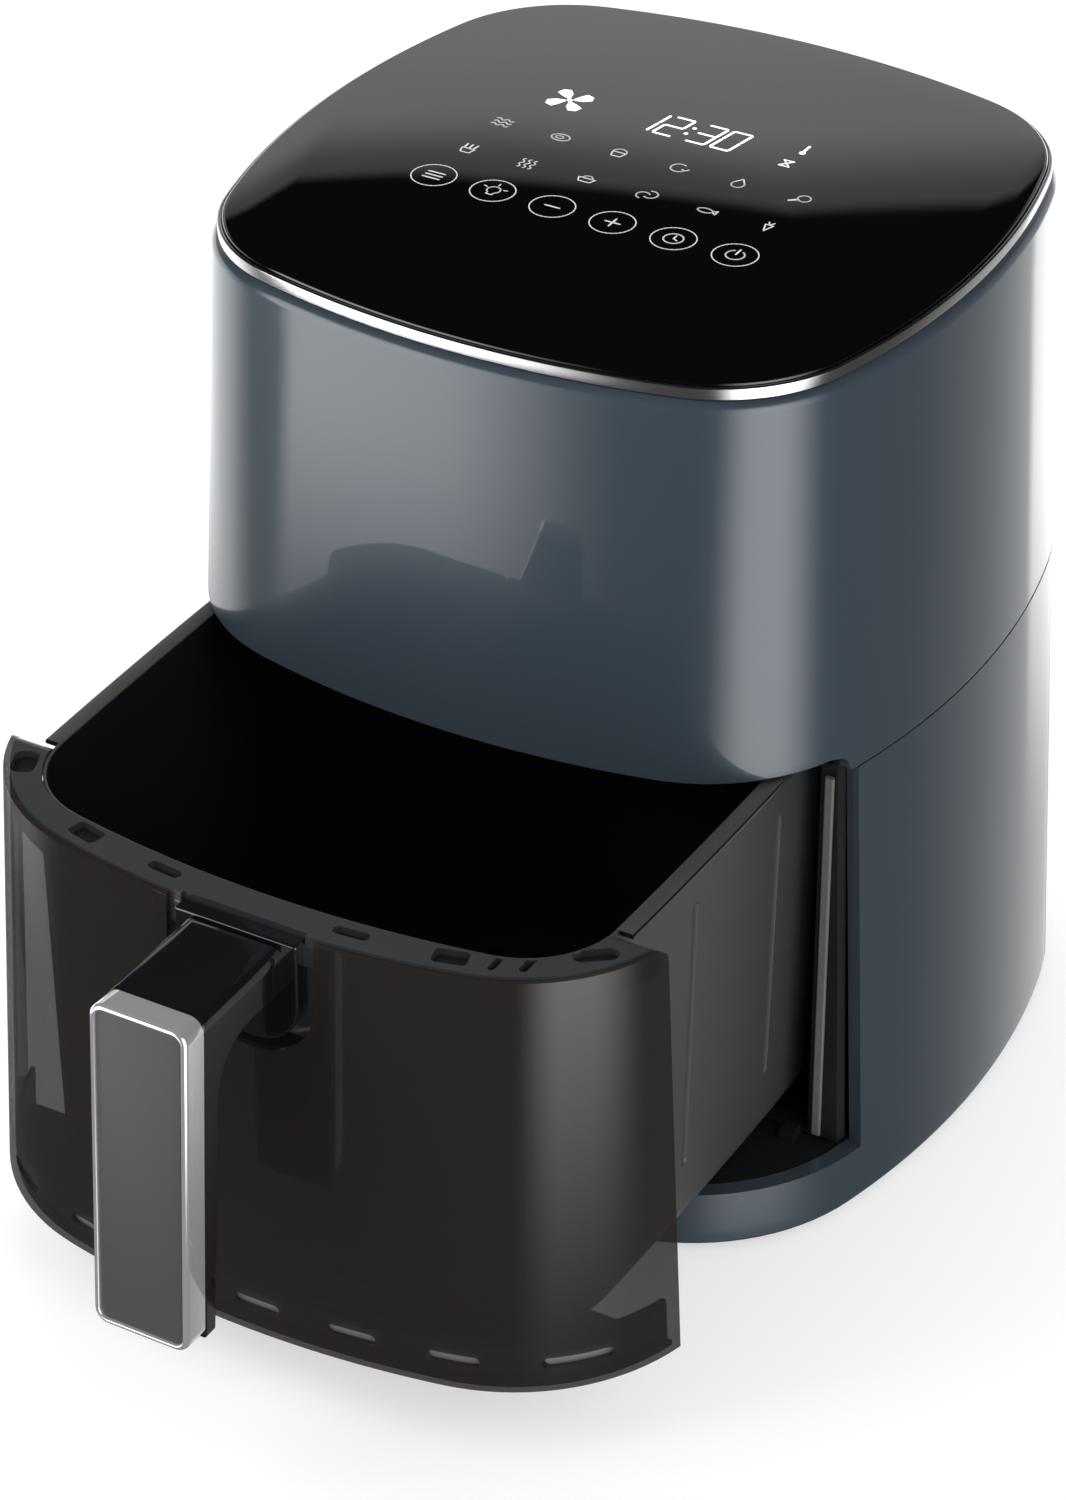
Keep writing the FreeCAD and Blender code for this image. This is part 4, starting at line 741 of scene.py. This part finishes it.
flange = swept("flange_plate", [flange_row(FLANGE_TOP - drop, FLANGE_INSET)
                                for drop in (3.0, 2.3, 1.6, 1.0, 0.5, 0.2, 0.0)], False, True)
skirt_levels = [FLANGE_TOP - drop for drop in (11.0, 9.0, 7.0, 6.0, 5.0, 4.0)] + [SKIRT_TOP]
skirt = grid_wall("skirt", *[[flange_row(z, inset) for z in skirt_levels]
                             for inset in (FLANGE_INSET, SKIRT_INSET)])
skirt = soften(skirt, 0.3, 2, 50)


def turned(points, degrees, x, y):
    cos, sin = cosd(degrees), sind(degrees)
    return [(x + a * cos - b * sin, y + OUT + a * sin + b * cos) for a, b in points]


pan_opening = [(x, y + PAN_Y / MM) for x, y in outline(pan_sizes(PAN_TOP_Z, -0.2))]
cutters = [prism("pan_opening", pan_opening, 160, 190, "z"),
           prism("boss_notch", [(-22, OUT - 180), (22, OUT - 180), (22, OUT - 122),
                                (-22, OUT - 122)], 100, 190, "z")]
SLOT_FLOOR = 175.0
SLOTS = ((-33, -115.5, 6, 2, 1.9, -6), (33, -115.5, 6, 2, 1.9, 6), (-64.5, -111, 5.5, 3.5, 1.5, -14),
         (64.5, -111, 5.5, 3.5, 1.5, 14), (77.5, -106.5, 1.2, 4.5, 1.1, 0),
         (86, -102, 1.4, 5, 1.3, 0), (101, -89, 7, 3, 2.9, 38), (-103, -88.5, 4, 6, 3, 20))
for number, (x, y, half_x, half_y, radius, degrees) in enumerate(SLOTS):
    points = turned(rounded_box(half_x, half_y, radius), degrees, x, y)
    cutters.append(prism(f"flange_slot_{number}", points, SLOT_FLOOR, 190, "z"))
carve(flange, cutters)
flange = soften(flange, 0.45, 3, 40)
# the plate that carries the handle's boss, and the tab that presses the door switch
PLATE_HALF_X, PLATE_LOW, PLATE_FRONT, PLATE_BACK = 23.5, 138.0, 121.9, 118.4
plate = [(PLATE_HALF_X, PLATE_LOW), (PLATE_HALF_X, SKIRT_TOP), (-PLATE_HALF_X, SKIRT_TOP),
         (-PLATE_HALF_X, PLATE_LOW)]
mount_plate = soften(prism("mount_plate", plate, OUT - PLATE_FRONT, OUT - PLATE_BACK), 0.3, 2, 50)
tab = [(107.6, OUT - 78.0), (112.4, OUT - 78.0), (112.4, OUT - FLANGE_Y), (107.6, OUT - FLANGE_Y)]
switch_tab = soften(prism("switch_tab", tab, 168.0, SKIRT_TOP, "z"), 0.3, 2, 50)
flange_frame = merged("flange_frame", [flange, skirt, mount_plate, switch_tab])
stand_in(flange_frame, "drawer", "front_frame")
# painted shade: faces that look up at the slots' floor level are painted black, so what shows through
# the slots reads dark
flange_frame.data.materials.append(LOOKS["inner_black"])
for polygon in flange_frame.data.polygons:
    if polygon.normal.z > 0.9 and abs(polygon.center.z / MM - SLOT_FLOOR) < 0.2:
        polygon.material_index = 1

# -------- basket
def pan_ring(inset, z):
    return shift(outline(pan_sizes(z, inset), (12, 10), 20), PAN_Y, z)


PAN_WALL, PAN_R = 1.2, 9.0
BEND_Z, LIP_Z = PAN_Z + PAN_R, PAN_TOP_Z - 0.6
profile = [(PAN_R - PAN_R * sind(a), BEND_Z - PAN_R * cosd(a)) for a in range(0, 91, 15)]
profile += [(0.0, z) for z in evenly(BEND_Z, LIP_Z, 12, 1)]
profile += [(0.15, PAN_TOP_Z - 0.2), (0.6, PAN_TOP_Z), (1.05, PAN_TOP_Z - 0.2), (PAN_WALL, LIP_Z)]
profile += [(PAN_WALL, z) for z in reversed(evenly(BEND_Z, LIP_Z, 12)[:-1])]
inner_r = PAN_R - PAN_WALL
profile += [(PAN_R - inner_r * sind(a), BEND_Z - inner_r * cosd(a)) for a in range(75, -1, -15)]
pan = swept("pan_shell", [pan_ring(inset, z) for inset, z in profile], closed=False, cap=True)


def capsule(name, radius, side, y):
    """A bar with ball ends that leans with the side wall of the basket."""
    lean = (PAN_TOP[0] - PAN_BASE[0]) / (PAN_TOP_Z - PAN_Z)
    rings = []
    stations = [(57 - radius * cosd(a), radius * sind(a))
                for a in range(15, 91, 15)]
    stations += [(156 + radius * sind(a), radius * cosd(a))
                 for a in range(0, 76, 15)]
    for z, reach in stations:
        x = PAN_BASE[0] + lean * (z - PAN_Z) + 1.5
        ring = [(side * x + reach * cosd(a),
                 y + OUT + reach * sind(a), z) for a in range(0, 360, 20)]
        rings.append(ring)
    return swept(name, rings, closed=False, cap=True)


for number, (side, y) in enumerate(((-1, -26.5), (-1, 28.5), (1, -26.5), (1, 28.5))):
    carve(pan, [capsule(f"groove_{number}", 2.6, side, y)])
WINDOW_HALF_X, WINDOW_HALF_Z, WINDOW_Z = 78.0, 56.5, 106.5
window_hole = rounded_box(WINDOW_HALF_X, WINDOW_HALF_Z, 10.0, 0.0, WINDOW_Z)
carve(pan, [prism("window_hole", window_hole, OUT - 150, OUT - 80)])
pan = soften(pan, 0.15, 2, 40)
stand_in(pan, "drawer", "basket")
pan.data.materials.append(LOOKS["basket_inside"])
middle = Vector((0, PAN_Y, 0))
for polygon in pan.data.polygons:
    away = polygon.center - middle
    low = polygon.center.z < BEND_Z * MM
    facing_in = polygon.normal.x * away.x + polygon.normal.y * away.y < 0
    if (facing_in or (low and polygon.normal.z > 0.1)) and polygon.center.z < (LIP_Z - 0.1) * MM:
        polygon.material_index = 1

# the turned-out rim runs round the basket behind the drawer front
RIM_Y = -64.85
# each step is an inset and how far it lies below the basket's top
rim_steps = [(1.15, 0.1), (1.0, 0.0), (-3.9, 0.0), (-4.45, 0.15), (-4.75, 0.5), (-4.8, 0.8),
             (-4.75, 1.4), (-4.45, 1.7), (0.3, 1.7)]


def rim_row(inset, z):
    """The outline of the basket's top behind the drawer front, right end to left end."""
    sizes = [size - inset for size in PAN_TOP]
    side = [(side_x(sizes, abs(y)), y) for y in evenly(RIM_Y, side_end(sizes), 30)]
    half = side + [(x, -y) for x, y in reversed(front_half(sizes, (12, 12)))][1:]
    return shift(half + [(-x, y) for x, y in reversed(half[:-1])], PAN_Y, z)


rows = [rim_row(inset, PAN_TOP_Z - drop) for inset, drop in rim_steps]
columns = len(rows[0])
verts = [point for row in rows for point in row]
places = [range(row * columns, (row + 1) * columns) for row in range(len(rows))]
faces = []
for row, after in zip(places, places[1:] + places[:1]):
    faces += strip_faces(row, after)
faces += [tuple(row[end] for row in places) for end in (0, -1)]
rim_band = object_from("basket_rim", verts, faces)
sharp_by_angle(rim_band, 35)
paint(rim_band, "rim_edge")
# painted shade: the rim's upright faces take the handle's black gloss, though they are the same coating
# as its top, so the outer edge reads dark
rim_band.data.materials.append(LOOKS["handle_black"])
for polygon in rim_band.data.polygons:
    if abs(polygon.normal.z) < 0.8:
        polygon.material_index = 1
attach(rim_band, "drawer")


def pan_front(z, inset, half_width, steps=40):
    """A row along the front of the basket between two places across it."""
    half_x, half_y, side_r, front_r, corner_r = pan_sizes(z, inset)
    centre_x, centre_y = corner_centre((half_x, half_y, side_r, front_r, corner_r))
    tangent_x = centre_x * front_r / (front_r - corner_r)
    row = []
    for x in evenly(-half_width, half_width, steps):
        if abs(x) <= tangent_x:
            y = half_y - front_r + math.sqrt(front_r * front_r - x * x)
        else:
            y = centre_y + math.sqrt(corner_r * corner_r - (abs(x) - centre_x) ** 2)
        row.append((x, -y))
    return shift(row, PAN_Y, z)


def pan_front_wall(name, low, high, insets, half_width):
    return grid_wall(name, *[[pan_front(z, inset, half_width) for z in evenly(low, high, 6)]
                             for inset in insets])


window = pan_front_wall("window_pane", pane_low.z, pane_high.z, (-4.4, -1.4), pane_high.x)
stand_in(window, "drawer", "basket_window")
gasket = pan_front_wall("window_surround", gasket_low.z, gasket_high.z, (-5.4, -0.2), gasket_high.x)
GASKET_GAP = 3.7
gasket_hole = rounded_box(WINDOW_HALF_X + GASKET_GAP, WINDOW_HALF_Z + GASKET_GAP, 0.5, 0.0, WINDOW_Z)
carve(gasket, [prism("gasket_hole", gasket_hole, OUT - 150, OUT - 50)])
stand_in(soften(gasket, 0.4), "drawer", "window_frame")

# -------- handle
LEAN = math.radians(3.4)
GRIP_Y, GRIP_Z = 174.1, 117.6


def grip_y(base, z):
    return -base + (z - GRIP_Z) * math.tan(LEAN)


def bevel_edges(obj, width, segments, wanted):
    """Round only the edges whose two ends satisfy wanted."""
    mesh = bmesh.new()
    mesh.from_mesh(obj.data)
    picked = [e for e in mesh.edges if all(wanted(v.co / MM) for v in e.verts)]
    bmesh.ops.bevel(mesh, geom=picked, offset=width * MM, segments=segments, profile=0.5,
                    affect="EDGES", clamp_overlap=True)
    mesh.to_mesh(obj.data)
    mesh.free()
    shade(obj.data)


ARM_BACK, ARM_UNDER, ARM_TOP, GRIP_BACK = -127.3, 159.0, 175.5, GRIP_Y - 6.0
BEND = 18.0
bend_centre_z = ARM_UNDER - BEND
bend_centre_y = grip_y(GRIP_BACK, ARM_UNDER) + BEND * (1 + math.sin(LEAN)) / math.cos(LEAN)
arm_profile = [(ARM_BACK, ARM_UNDER), (ARM_BACK, ARM_TOP), (grip_y(GRIP_Y, ARM_TOP), ARM_TOP),
               (grip_y(GRIP_Y, arm_low.z), arm_low.z), (grip_y(GRIP_BACK, arm_low.z), arm_low.z)]
for turn in evenly(math.pi - LEAN, math.pi / 2, 12):
    arm_profile.append((bend_centre_y + BEND * math.cos(turn), bend_centre_z + BEND * math.sin(turn)))
ARM_HALF = grip_high.x
arm = prism("arm", [(y + OUT, z) for y, z in arm_profile], -ARM_HALF, ARM_HALF, "x")
bevel_edges(arm, 5.0, 8, lambda v: v.z > ARM_TOP - 0.1 and abs(v.x) > ARM_HALF - 0.1)
arm = soften(arm, 0.8, 3, 50)
boss_outline = boss_shape(arm_high.x, arm_high.z, 5.5, 153.5, 16.0)
boss = soften(prism("boss", boss_outline, OUT - 128.3, OUT - 122.05), 1.0, 4, 50)
stand_in(merged("handle_shell", [arm, boss]), "drawer", "handle_body")


def on_grip(x, depth, z):
    """A point of a plate that leans with the grip, depth in front of its back."""
    return (x, -depth * math.cos(LEAN) + z * math.sin(LEAN) - GRIP_Y + OUT,
            depth * math.sin(LEAN) + z * math.cos(LEAN) + GRIP_Z)


TRIM_HALF_Z = 57.75
trim_profile = [(0.0, 0.1), (0.0, 8.1)] + rounded_edge(1.5, 8.1)
trim_profile += [(1.75, 9.55), (1.94, 9.38), (2.0, 9.1), (2.0, 0.1)]
trim_rings = [[on_grip(x, depth, z) for x, z in
               rounded_box(ARM_HALF - inset, TRIM_HALF_Z - inset, 5.0 - inset * 0.9, steps=10)]
              for inset, depth in trim_profile]
grip_trim = swept("grip_trim", trim_rings)
sharp_by_angle(grip_trim, 40)
stand_in(grip_trim, "drawer", "handle_trim")

insert_profile = [(0.0, 0.1), (0.0, 8.35)] + rounded_edge(0.45, 8.35, 18)
insert_rings = [[on_grip(x, depth, z) for x, z in
                 rounded_box(ARM_HALF - 2.2 - inset, TRIM_HALF_Z - 2.2 - inset, 3.0 - inset, steps=10)]
                for inset, depth in insert_profile]
grip_insert = swept("grip_insert", insert_rings, closed=False, cap=True)
sharp_by_angle(grip_insert, 40)
stand_in(grip_insert, "drawer", "handle_insert")


# -------- marks under the glass
MARK_LOW, MARK_HIGH = GLASS_TOP - 0.02, GLASS_TOP + 0.035
bright_shapes, soft_shapes = [], []
mark_shapes = soft_shapes


def stroke(points, width=0.45, closed=False):
    """A line of even width through the points, with round joints."""
    pairs = zip(points, points[1:] + points[:1] if closed else points[1:])
    for (x1, y1), (x2, y2) in pairs:
        length = math.hypot(x2 - x1, y2 - y1)
        if length > 0:
            aside_x, aside_y = -(y2 - y1) / length * width / 2, (x2 - x1) / length * width / 2
            mark_shapes.append([(x1 + aside_x, y1 + aside_y), (x1 - aside_x, y1 - aside_y),
                                (x2 - aside_x, y2 - aside_y), (x2 + aside_x, y2 + aside_y)])
    for x, y in points:
        dot(x, y, width / 2)


def dot(x, y, radius):
    mark_shapes.append([(x + radius * cosd(a), y + radius * sind(a))
                        for a in range(0, 360, 30)])


def bow(x, y, radius, start=0, end=360, width=0.5, squash=1.0):
    """Part of a circle, or of an oval, drawn as a line."""
    steps = max(8, int(abs(end - start) / 12))
    stroke([(x + radius * cosd(t), y + radius * squash * sind(t)) for t in evenly(start, end, steps)],
           width)


def wave(x, y, upright=False):
    points = [(step * 0.5 - 3, 0.6 * math.sin(step * 1.05)) for step in range(13)]
    stroke([(x + b, y + a) if upright else (x + a, y + b) for a, b in points])


def airflow(x, y):
    for level in (-2, 0, 2):
        wave(x, y + level)


def roast(x, y):
    bow(x, y, 3.2, squash=0.7)
    bow(x - 0.4, y, 1.3, squash=0.7)


def cupcake(x, y):
    stroke([(x - 2.4, y), (x - 1.6, y - 2.8), (x + 1.6, y - 2.8), (x + 2.4, y)], closed=True)
    bow(x, y, 2.4, 0, 180)


def reheat(x, y):
    bow(x, y, 2.7, 60, 340)
    stroke([(x + 1.4, y - 0.6), (x + 2.6, y - 1.0), (x + 3.6, y + 0.2)])


def drop(x, y):
    bow(x, y - 0.8, 2.1, -210, 30)
    stroke([(x - 1.8, y + 0.3), (x, y + 3.2), (x + 1.8, y + 0.3)])


def drumstick(x, y):
    bow(x + 1.2, y + 0.8, 2.1)
    stroke([(x - 0.4, y - 0.6), (x - 2.6, y - 2.4)], 0.9)


def fries(x, y):
    for aside in (-1.6, 0, 1.6):
        stroke([(x + aside, y), (x + aside * 1.2, y + 3)], 0.6)
    stroke([(x - 2.3, y), (x - 1.6, y - 2.8), (x + 1.6, y - 2.8), (x + 2.3, y)], closed=True)


def steam(x, y):
    for aside in (-2, 0, 2):
        wave(x + aside, y, True)


def tart(x, y):
    stroke([(x - 3, y + 0.6), (x + 3, y + 0.6), (x + 2, y - 1.8), (x - 2, y - 1.8)], closed=True)
    bow(x, y + 0.6, 1.8, 0, 180)


def wing(x, y):
    bow(x - 0.8, y - 0.6, 2.2, 40, 260)
    bow(x + 1.2, y + 0.8, 2.4, -120, 110)


def fish(x, y):
    bow(x - 0.5, y, 2.6, squash=0.55)
    stroke([(x + 2, y), (x + 3.5, y + 1.3), (x + 3.5, y - 1.3)], closed=True)


def carrot(x, y):
    stroke([(x - 1.4, y + 1.2), (x + 1.4, y + 1.2), (x, y - 3)], closed=True)
    stroke([(x, y + 1.2), (x - 1, y + 3)])
    stroke([(x, y + 1.2), (x + 1, y + 3)])


def menu_bars(x, y):
    for level in (-2, 0, 2):
        stroke([(x - 3, y + level), (x + 3, y + level)], 0.6)


def bulb(x, y):
    bow(x, y + 0.6, 2.2, -50, 230)
    stroke([(x - 1.1, y - 1.6), (x - 1.0, y - 2.6), (x + 1.0, y - 2.6), (x + 1.1, y - 1.6)])
    for turn in (20, 90, 160):
        cos, sin = cosd(turn), sind(turn)
        stroke([(x + 3.2 * cos, y + 0.6 + 3.2 * sin), (x + 4.4 * cos, y + 0.6 + 4.4 * sin)])


def minus(x, y):
    stroke([(x - 2.6, y), (x + 2.6, y)], 0.6)


def plus(x, y):
    minus(x, y)
    stroke([(x, y - 2.6), (x, y + 2.6)], 0.6)


def clock(x, y):
    bow(x, y, 3.2)
    stroke([(x, y + 2), (x, y), (x + 1.6, y - 0.8)], 0.5)


def power(x, y):
    bow(x, y, 3.0, 120, 420)
    stroke([(x, y + 0.4), (x, y + 3.8)], 0.6)


# The marks stand on a square grid worked out from the glass: six columns and three rows.
GRID = 0.184 * glass_high.x
COLUMNS = [(column - 2.68) * GRID for column in range(6)]
ROW_ICONS = ((airflow, roast, cupcake, reheat, drop, drumstick),
             (fries, steam, tart, wing, fish, carrot),
             (menu_bars, bulb, minus, plus, clock, power))
ROWS = [((0.62 - row) * GRID, icons) for row, icons in enumerate(ROW_ICONS)]
HEADING_Y = ROWS[0][0] + 1.15 * GRID
for level, icons in ROWS:
    for place, icon in zip(COLUMNS, icons):
        icon(place, level)
for place in COLUMNS:
    bow(place, ROWS[2][0], 0.34 * GRID, width=0.38)

# four blades of a fan
mark_shapes = bright_shapes
FAN_X = COLUMNS[0] + GRID / 2
BLADE = ((1.4, -12), (4.6, -16), (7.4, -6), (8.2, 12), (7.2, 32), (4.6, 34), (1.4, 24))
for blade in range(4):
    petal = []
    for radius, turn in BLADE:
        angle = math.radians(turn + 90 * blade + 30)
        petal.append((FAN_X + radius * math.cos(angle), HEADING_Y + radius * math.sin(angle)))
    mark_shapes.append(petal)
dot(FAN_X, HEADING_Y, 1.0)

# a seven-bar readout that leans a little
SLANT = 0.16
SEGMENTS = {"a": ((-2.9, 6.7), (2.9, 6.7)), "g": ((-2.9, 0), (2.9, 0)), "d": ((-2.9, -6.7), (2.9, -6.7)),
            "b": ((3.3, 6.1), (3.3, 0.6)), "c": ((3.3, -0.6), (3.3, -6.1)),
            "f": ((-3.3, 6.1), (-3.3, 0.6)), "e": ((-3.3, -0.6), (-3.3, -6.1))}
COLON_X = COLUMNS[2] + 0.57 * GRID
for steps_away, lit in ((-0.69, "bc"), (-0.28, "abged"), (0.28, "abgcd"), (0.69, "abcdef")):
    for name in lit:
        stroke([(COLON_X + steps_away * GRID + x + SLANT * y, HEADING_Y + y) for x, y in SEGMENTS[name]],
               0.95)
for y in (-2.4, 2.2):
    dot(COLON_X + SLANT * y, HEADING_Y + y, 0.75)

# a thermometer and a sand-glass beside it
SIDE_X = COLUMNS[4] + 0.35 * GRID
stroke([(SIDE_X, HEADING_Y + 4.6), (SIDE_X, HEADING_Y + 9.1)], 0.9)
dot(SIDE_X, HEADING_Y + 4.0, 1.1)
stroke([(SIDE_X - 2.8, HEADING_Y - 3), (SIDE_X + 0.8, HEADING_Y - 3),
        (SIDE_X - 2.8, HEADING_Y - 7), (SIDE_X + 0.8, HEADING_Y - 7)], closed=True)


def marks_object(name, shapes, look):
    """The flat shapes as thin plates on the glass."""
    verts, faces = [], []
    for shape in shapes:
        faces += block_faces(len(shape), len(verts))
        verts += shift(shape, HOUSE_Y, MARK_LOW) + shift(shape, HOUSE_Y, MARK_HIGH)
    made = object_from(name, verts, faces, smooth=False)
    paint(made, look)
    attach(made, "housing")


marks_object("panel_marks", bright_shapes, "panel_ink")
marks_object("panel_symbols", soft_shapes, "panel_ink_soft")

# -------- floor, light, camera
bpy.ops.mesh.primitive_plane_add(size=12, location=(0, 0, -0.0002))
floor = bpy.context.object
floor.name = "floor"
floor.data.materials.append(finish("floor_white", (0.5, 0.5, 0.5), 0.5, vary=0.004, bump=0.0,
                                   grain=50, rough_vary=0.02, spec=0.2, emission=1.15))
floor.visible_glossy = False

world = bpy.data.worlds.new("studio")
bpy.context.scene.world = world
world.use_nodes = True
tree = world.node_tree
tree.nodes.clear()
link = tree.links.new


def calc(kind, *values):
    """A maths node on sockets or numbers."""
    step = add_node(tree, "Math")
    step.operation = kind
    for socket, value in zip(step.inputs, values):
        if isinstance(value, (int, float)):
            socket.default_value = value
        else:
            link(value, socket)
    return step.outputs[0]


def ease(value, start, end, rises):
    """A smooth step between 0 and 1 from start to end."""
    step = add_node(tree, "MapRange", {"From Min": start, "From Max": end,
                                       "To Min": 0.0 if rises else 1.0,
                                       "To Max": 1.0 if rises else 0.0})
    step.interpolation_type = "SMOOTHSTEP"
    link(value, step.inputs["Value"])
    return step.outputs[0]


toward = add_node(tree, "TexCoord")
split = add_node(tree, "SeparateXYZ")
link(toward.outputs["Generated"], split.inputs[0])
to_front = calc("MULTIPLY", split.outputs["Y"], -1.0)
heading = calc("MULTIPLY", calc("ARCTAN2", split.outputs["X"], to_front), 180 / math.pi)
height = calc("MULTIPLY", calc("ARCSINE", split.outputs["Z"]), 180 / math.pi)

# Soft studio cards that only reflections see. Degrees: heading from the front, positive to the
# right (starts, full from, full to, ends), then height in the same order, and the brightness.
CARDS = (
    ((-190, -186, -94, -56), (-33.5, -28.5, 0, 10), 1.25),
    ((-57, -53, -32, -4), (-28.3, -24.5, 10, 30), 3.0),
    ((26, 54, 68, 104), (-36.5, -28, 15, 40), 2.9),
    ((128, 190, 194, 198), (-60, -50, 5, 15), 0.74),
    ((-200, -185, -115, -100), (10, 15, 26.9, 27.8), 0.22),
    ((-200, -185, -115, -100), (10, 15, 23.5, 27.0), 0.34),
)
total = calc("ADD", calc("MULTIPLY", ease(height, -5, 12, False), 0.057), 0.003)
for across, upright, level in CARDS:
    centre = (across[1] + across[2]) / 2
    turn = calc("WRAP", calc("SUBTRACT", heading, centre), -180.0, 180.0)
    patch = calc("MULTIPLY", ease(turn, across[0] - centre, across[1] - centre, True),
                 ease(turn, across[2] - centre, across[3] - centre, False))
    patch = calc("MULTIPLY", patch, ease(height, upright[0], upright[1], True))
    patch = calc("MULTIPLY", patch, ease(height, upright[2], upright[3], False))
    total = calc("ADD", total, calc("MULTIPLY", patch, level))

out = add_node(tree, "OutputWorld")
ray = add_node(tree, "LightPath")
reflected = add_node(tree, "Background", {"Strength": 1.0})
link(total, reflected.inputs["Color"])
filling = add_node(tree, "Background", {"Color": (1, 1, 1, 1), "Strength": 0.72})
seen = add_node(tree, "Background", {"Color": (1, 1, 1, 1), "Strength": 1.0})
glossy_or_fill = add_node(tree, "MixShader")
camera_or_rest = add_node(tree, "MixShader")
for mix, kind, otherwise, chosen in ((glossy_or_fill, "Is Glossy Ray", filling, reflected),
                                     (camera_or_rest, "Is Camera Ray", glossy_or_fill, seen)):
    link(ray.outputs[kind], mix.inputs[0])
    link(otherwise.outputs[0], mix.inputs[1])
    link(chosen.outputs[0], mix.inputs[2])
link(camera_or_rest.outputs[0], out.inputs[0])


def area_light(name, place, aim, size, power):
    """A soft light that reflections don't show."""
    data = bpy.data.lights.new(name, "AREA")
    data.shape = "RECTANGLE"
    data.size, data.size_y = size
    data.energy = power
    made = add_object(name, data)
    made.location = place
    made.rotation_euler = (Vector(aim) - Vector(place)).to_track_quat("-Z", "Y").to_euler()
    made.visible_glossy = False


area_light("key_left", (-1.3, -1.2, 1.7), (0, 0, 0.1), (1.2, 1.2), 22)
area_light("fill_right", (1.6, -0.6, 1.2), (0, 0, 0.1), (1.0, 1.4), 10)
area_light("overhead", (-0.5, 0.9, 1.6), (0, HOUSE_Y, 0.3), (1.3, 0.9), 9)

scene = bpy.context.scene
scene.view_settings.view_transform = "Standard"
AZIMUTH, ELEVATION = math.radians(29.99), math.radians(33.57)
back = Vector((math.sin(AZIMUTH) * math.cos(ELEVATION), -math.cos(AZIMUTH) * math.cos(ELEVATION),
               math.sin(ELEVATION)))
right = Vector((math.cos(AZIMUTH), math.sin(AZIMUTH), 0))
above = back.cross(right)
camera_data = bpy.data.cameras.new("camera")
camera_data.sensor_width = 36
camera_data.lens = 117.95
camera = add_object("camera", camera_data)
turn = Matrix((right, above, back)).transposed().to_4x4()
camera.matrix_world = Matrix.Translation((0.6688, HOUSE_Y - 1.2263, 1.0249)) @ turn
scene.camera = camera
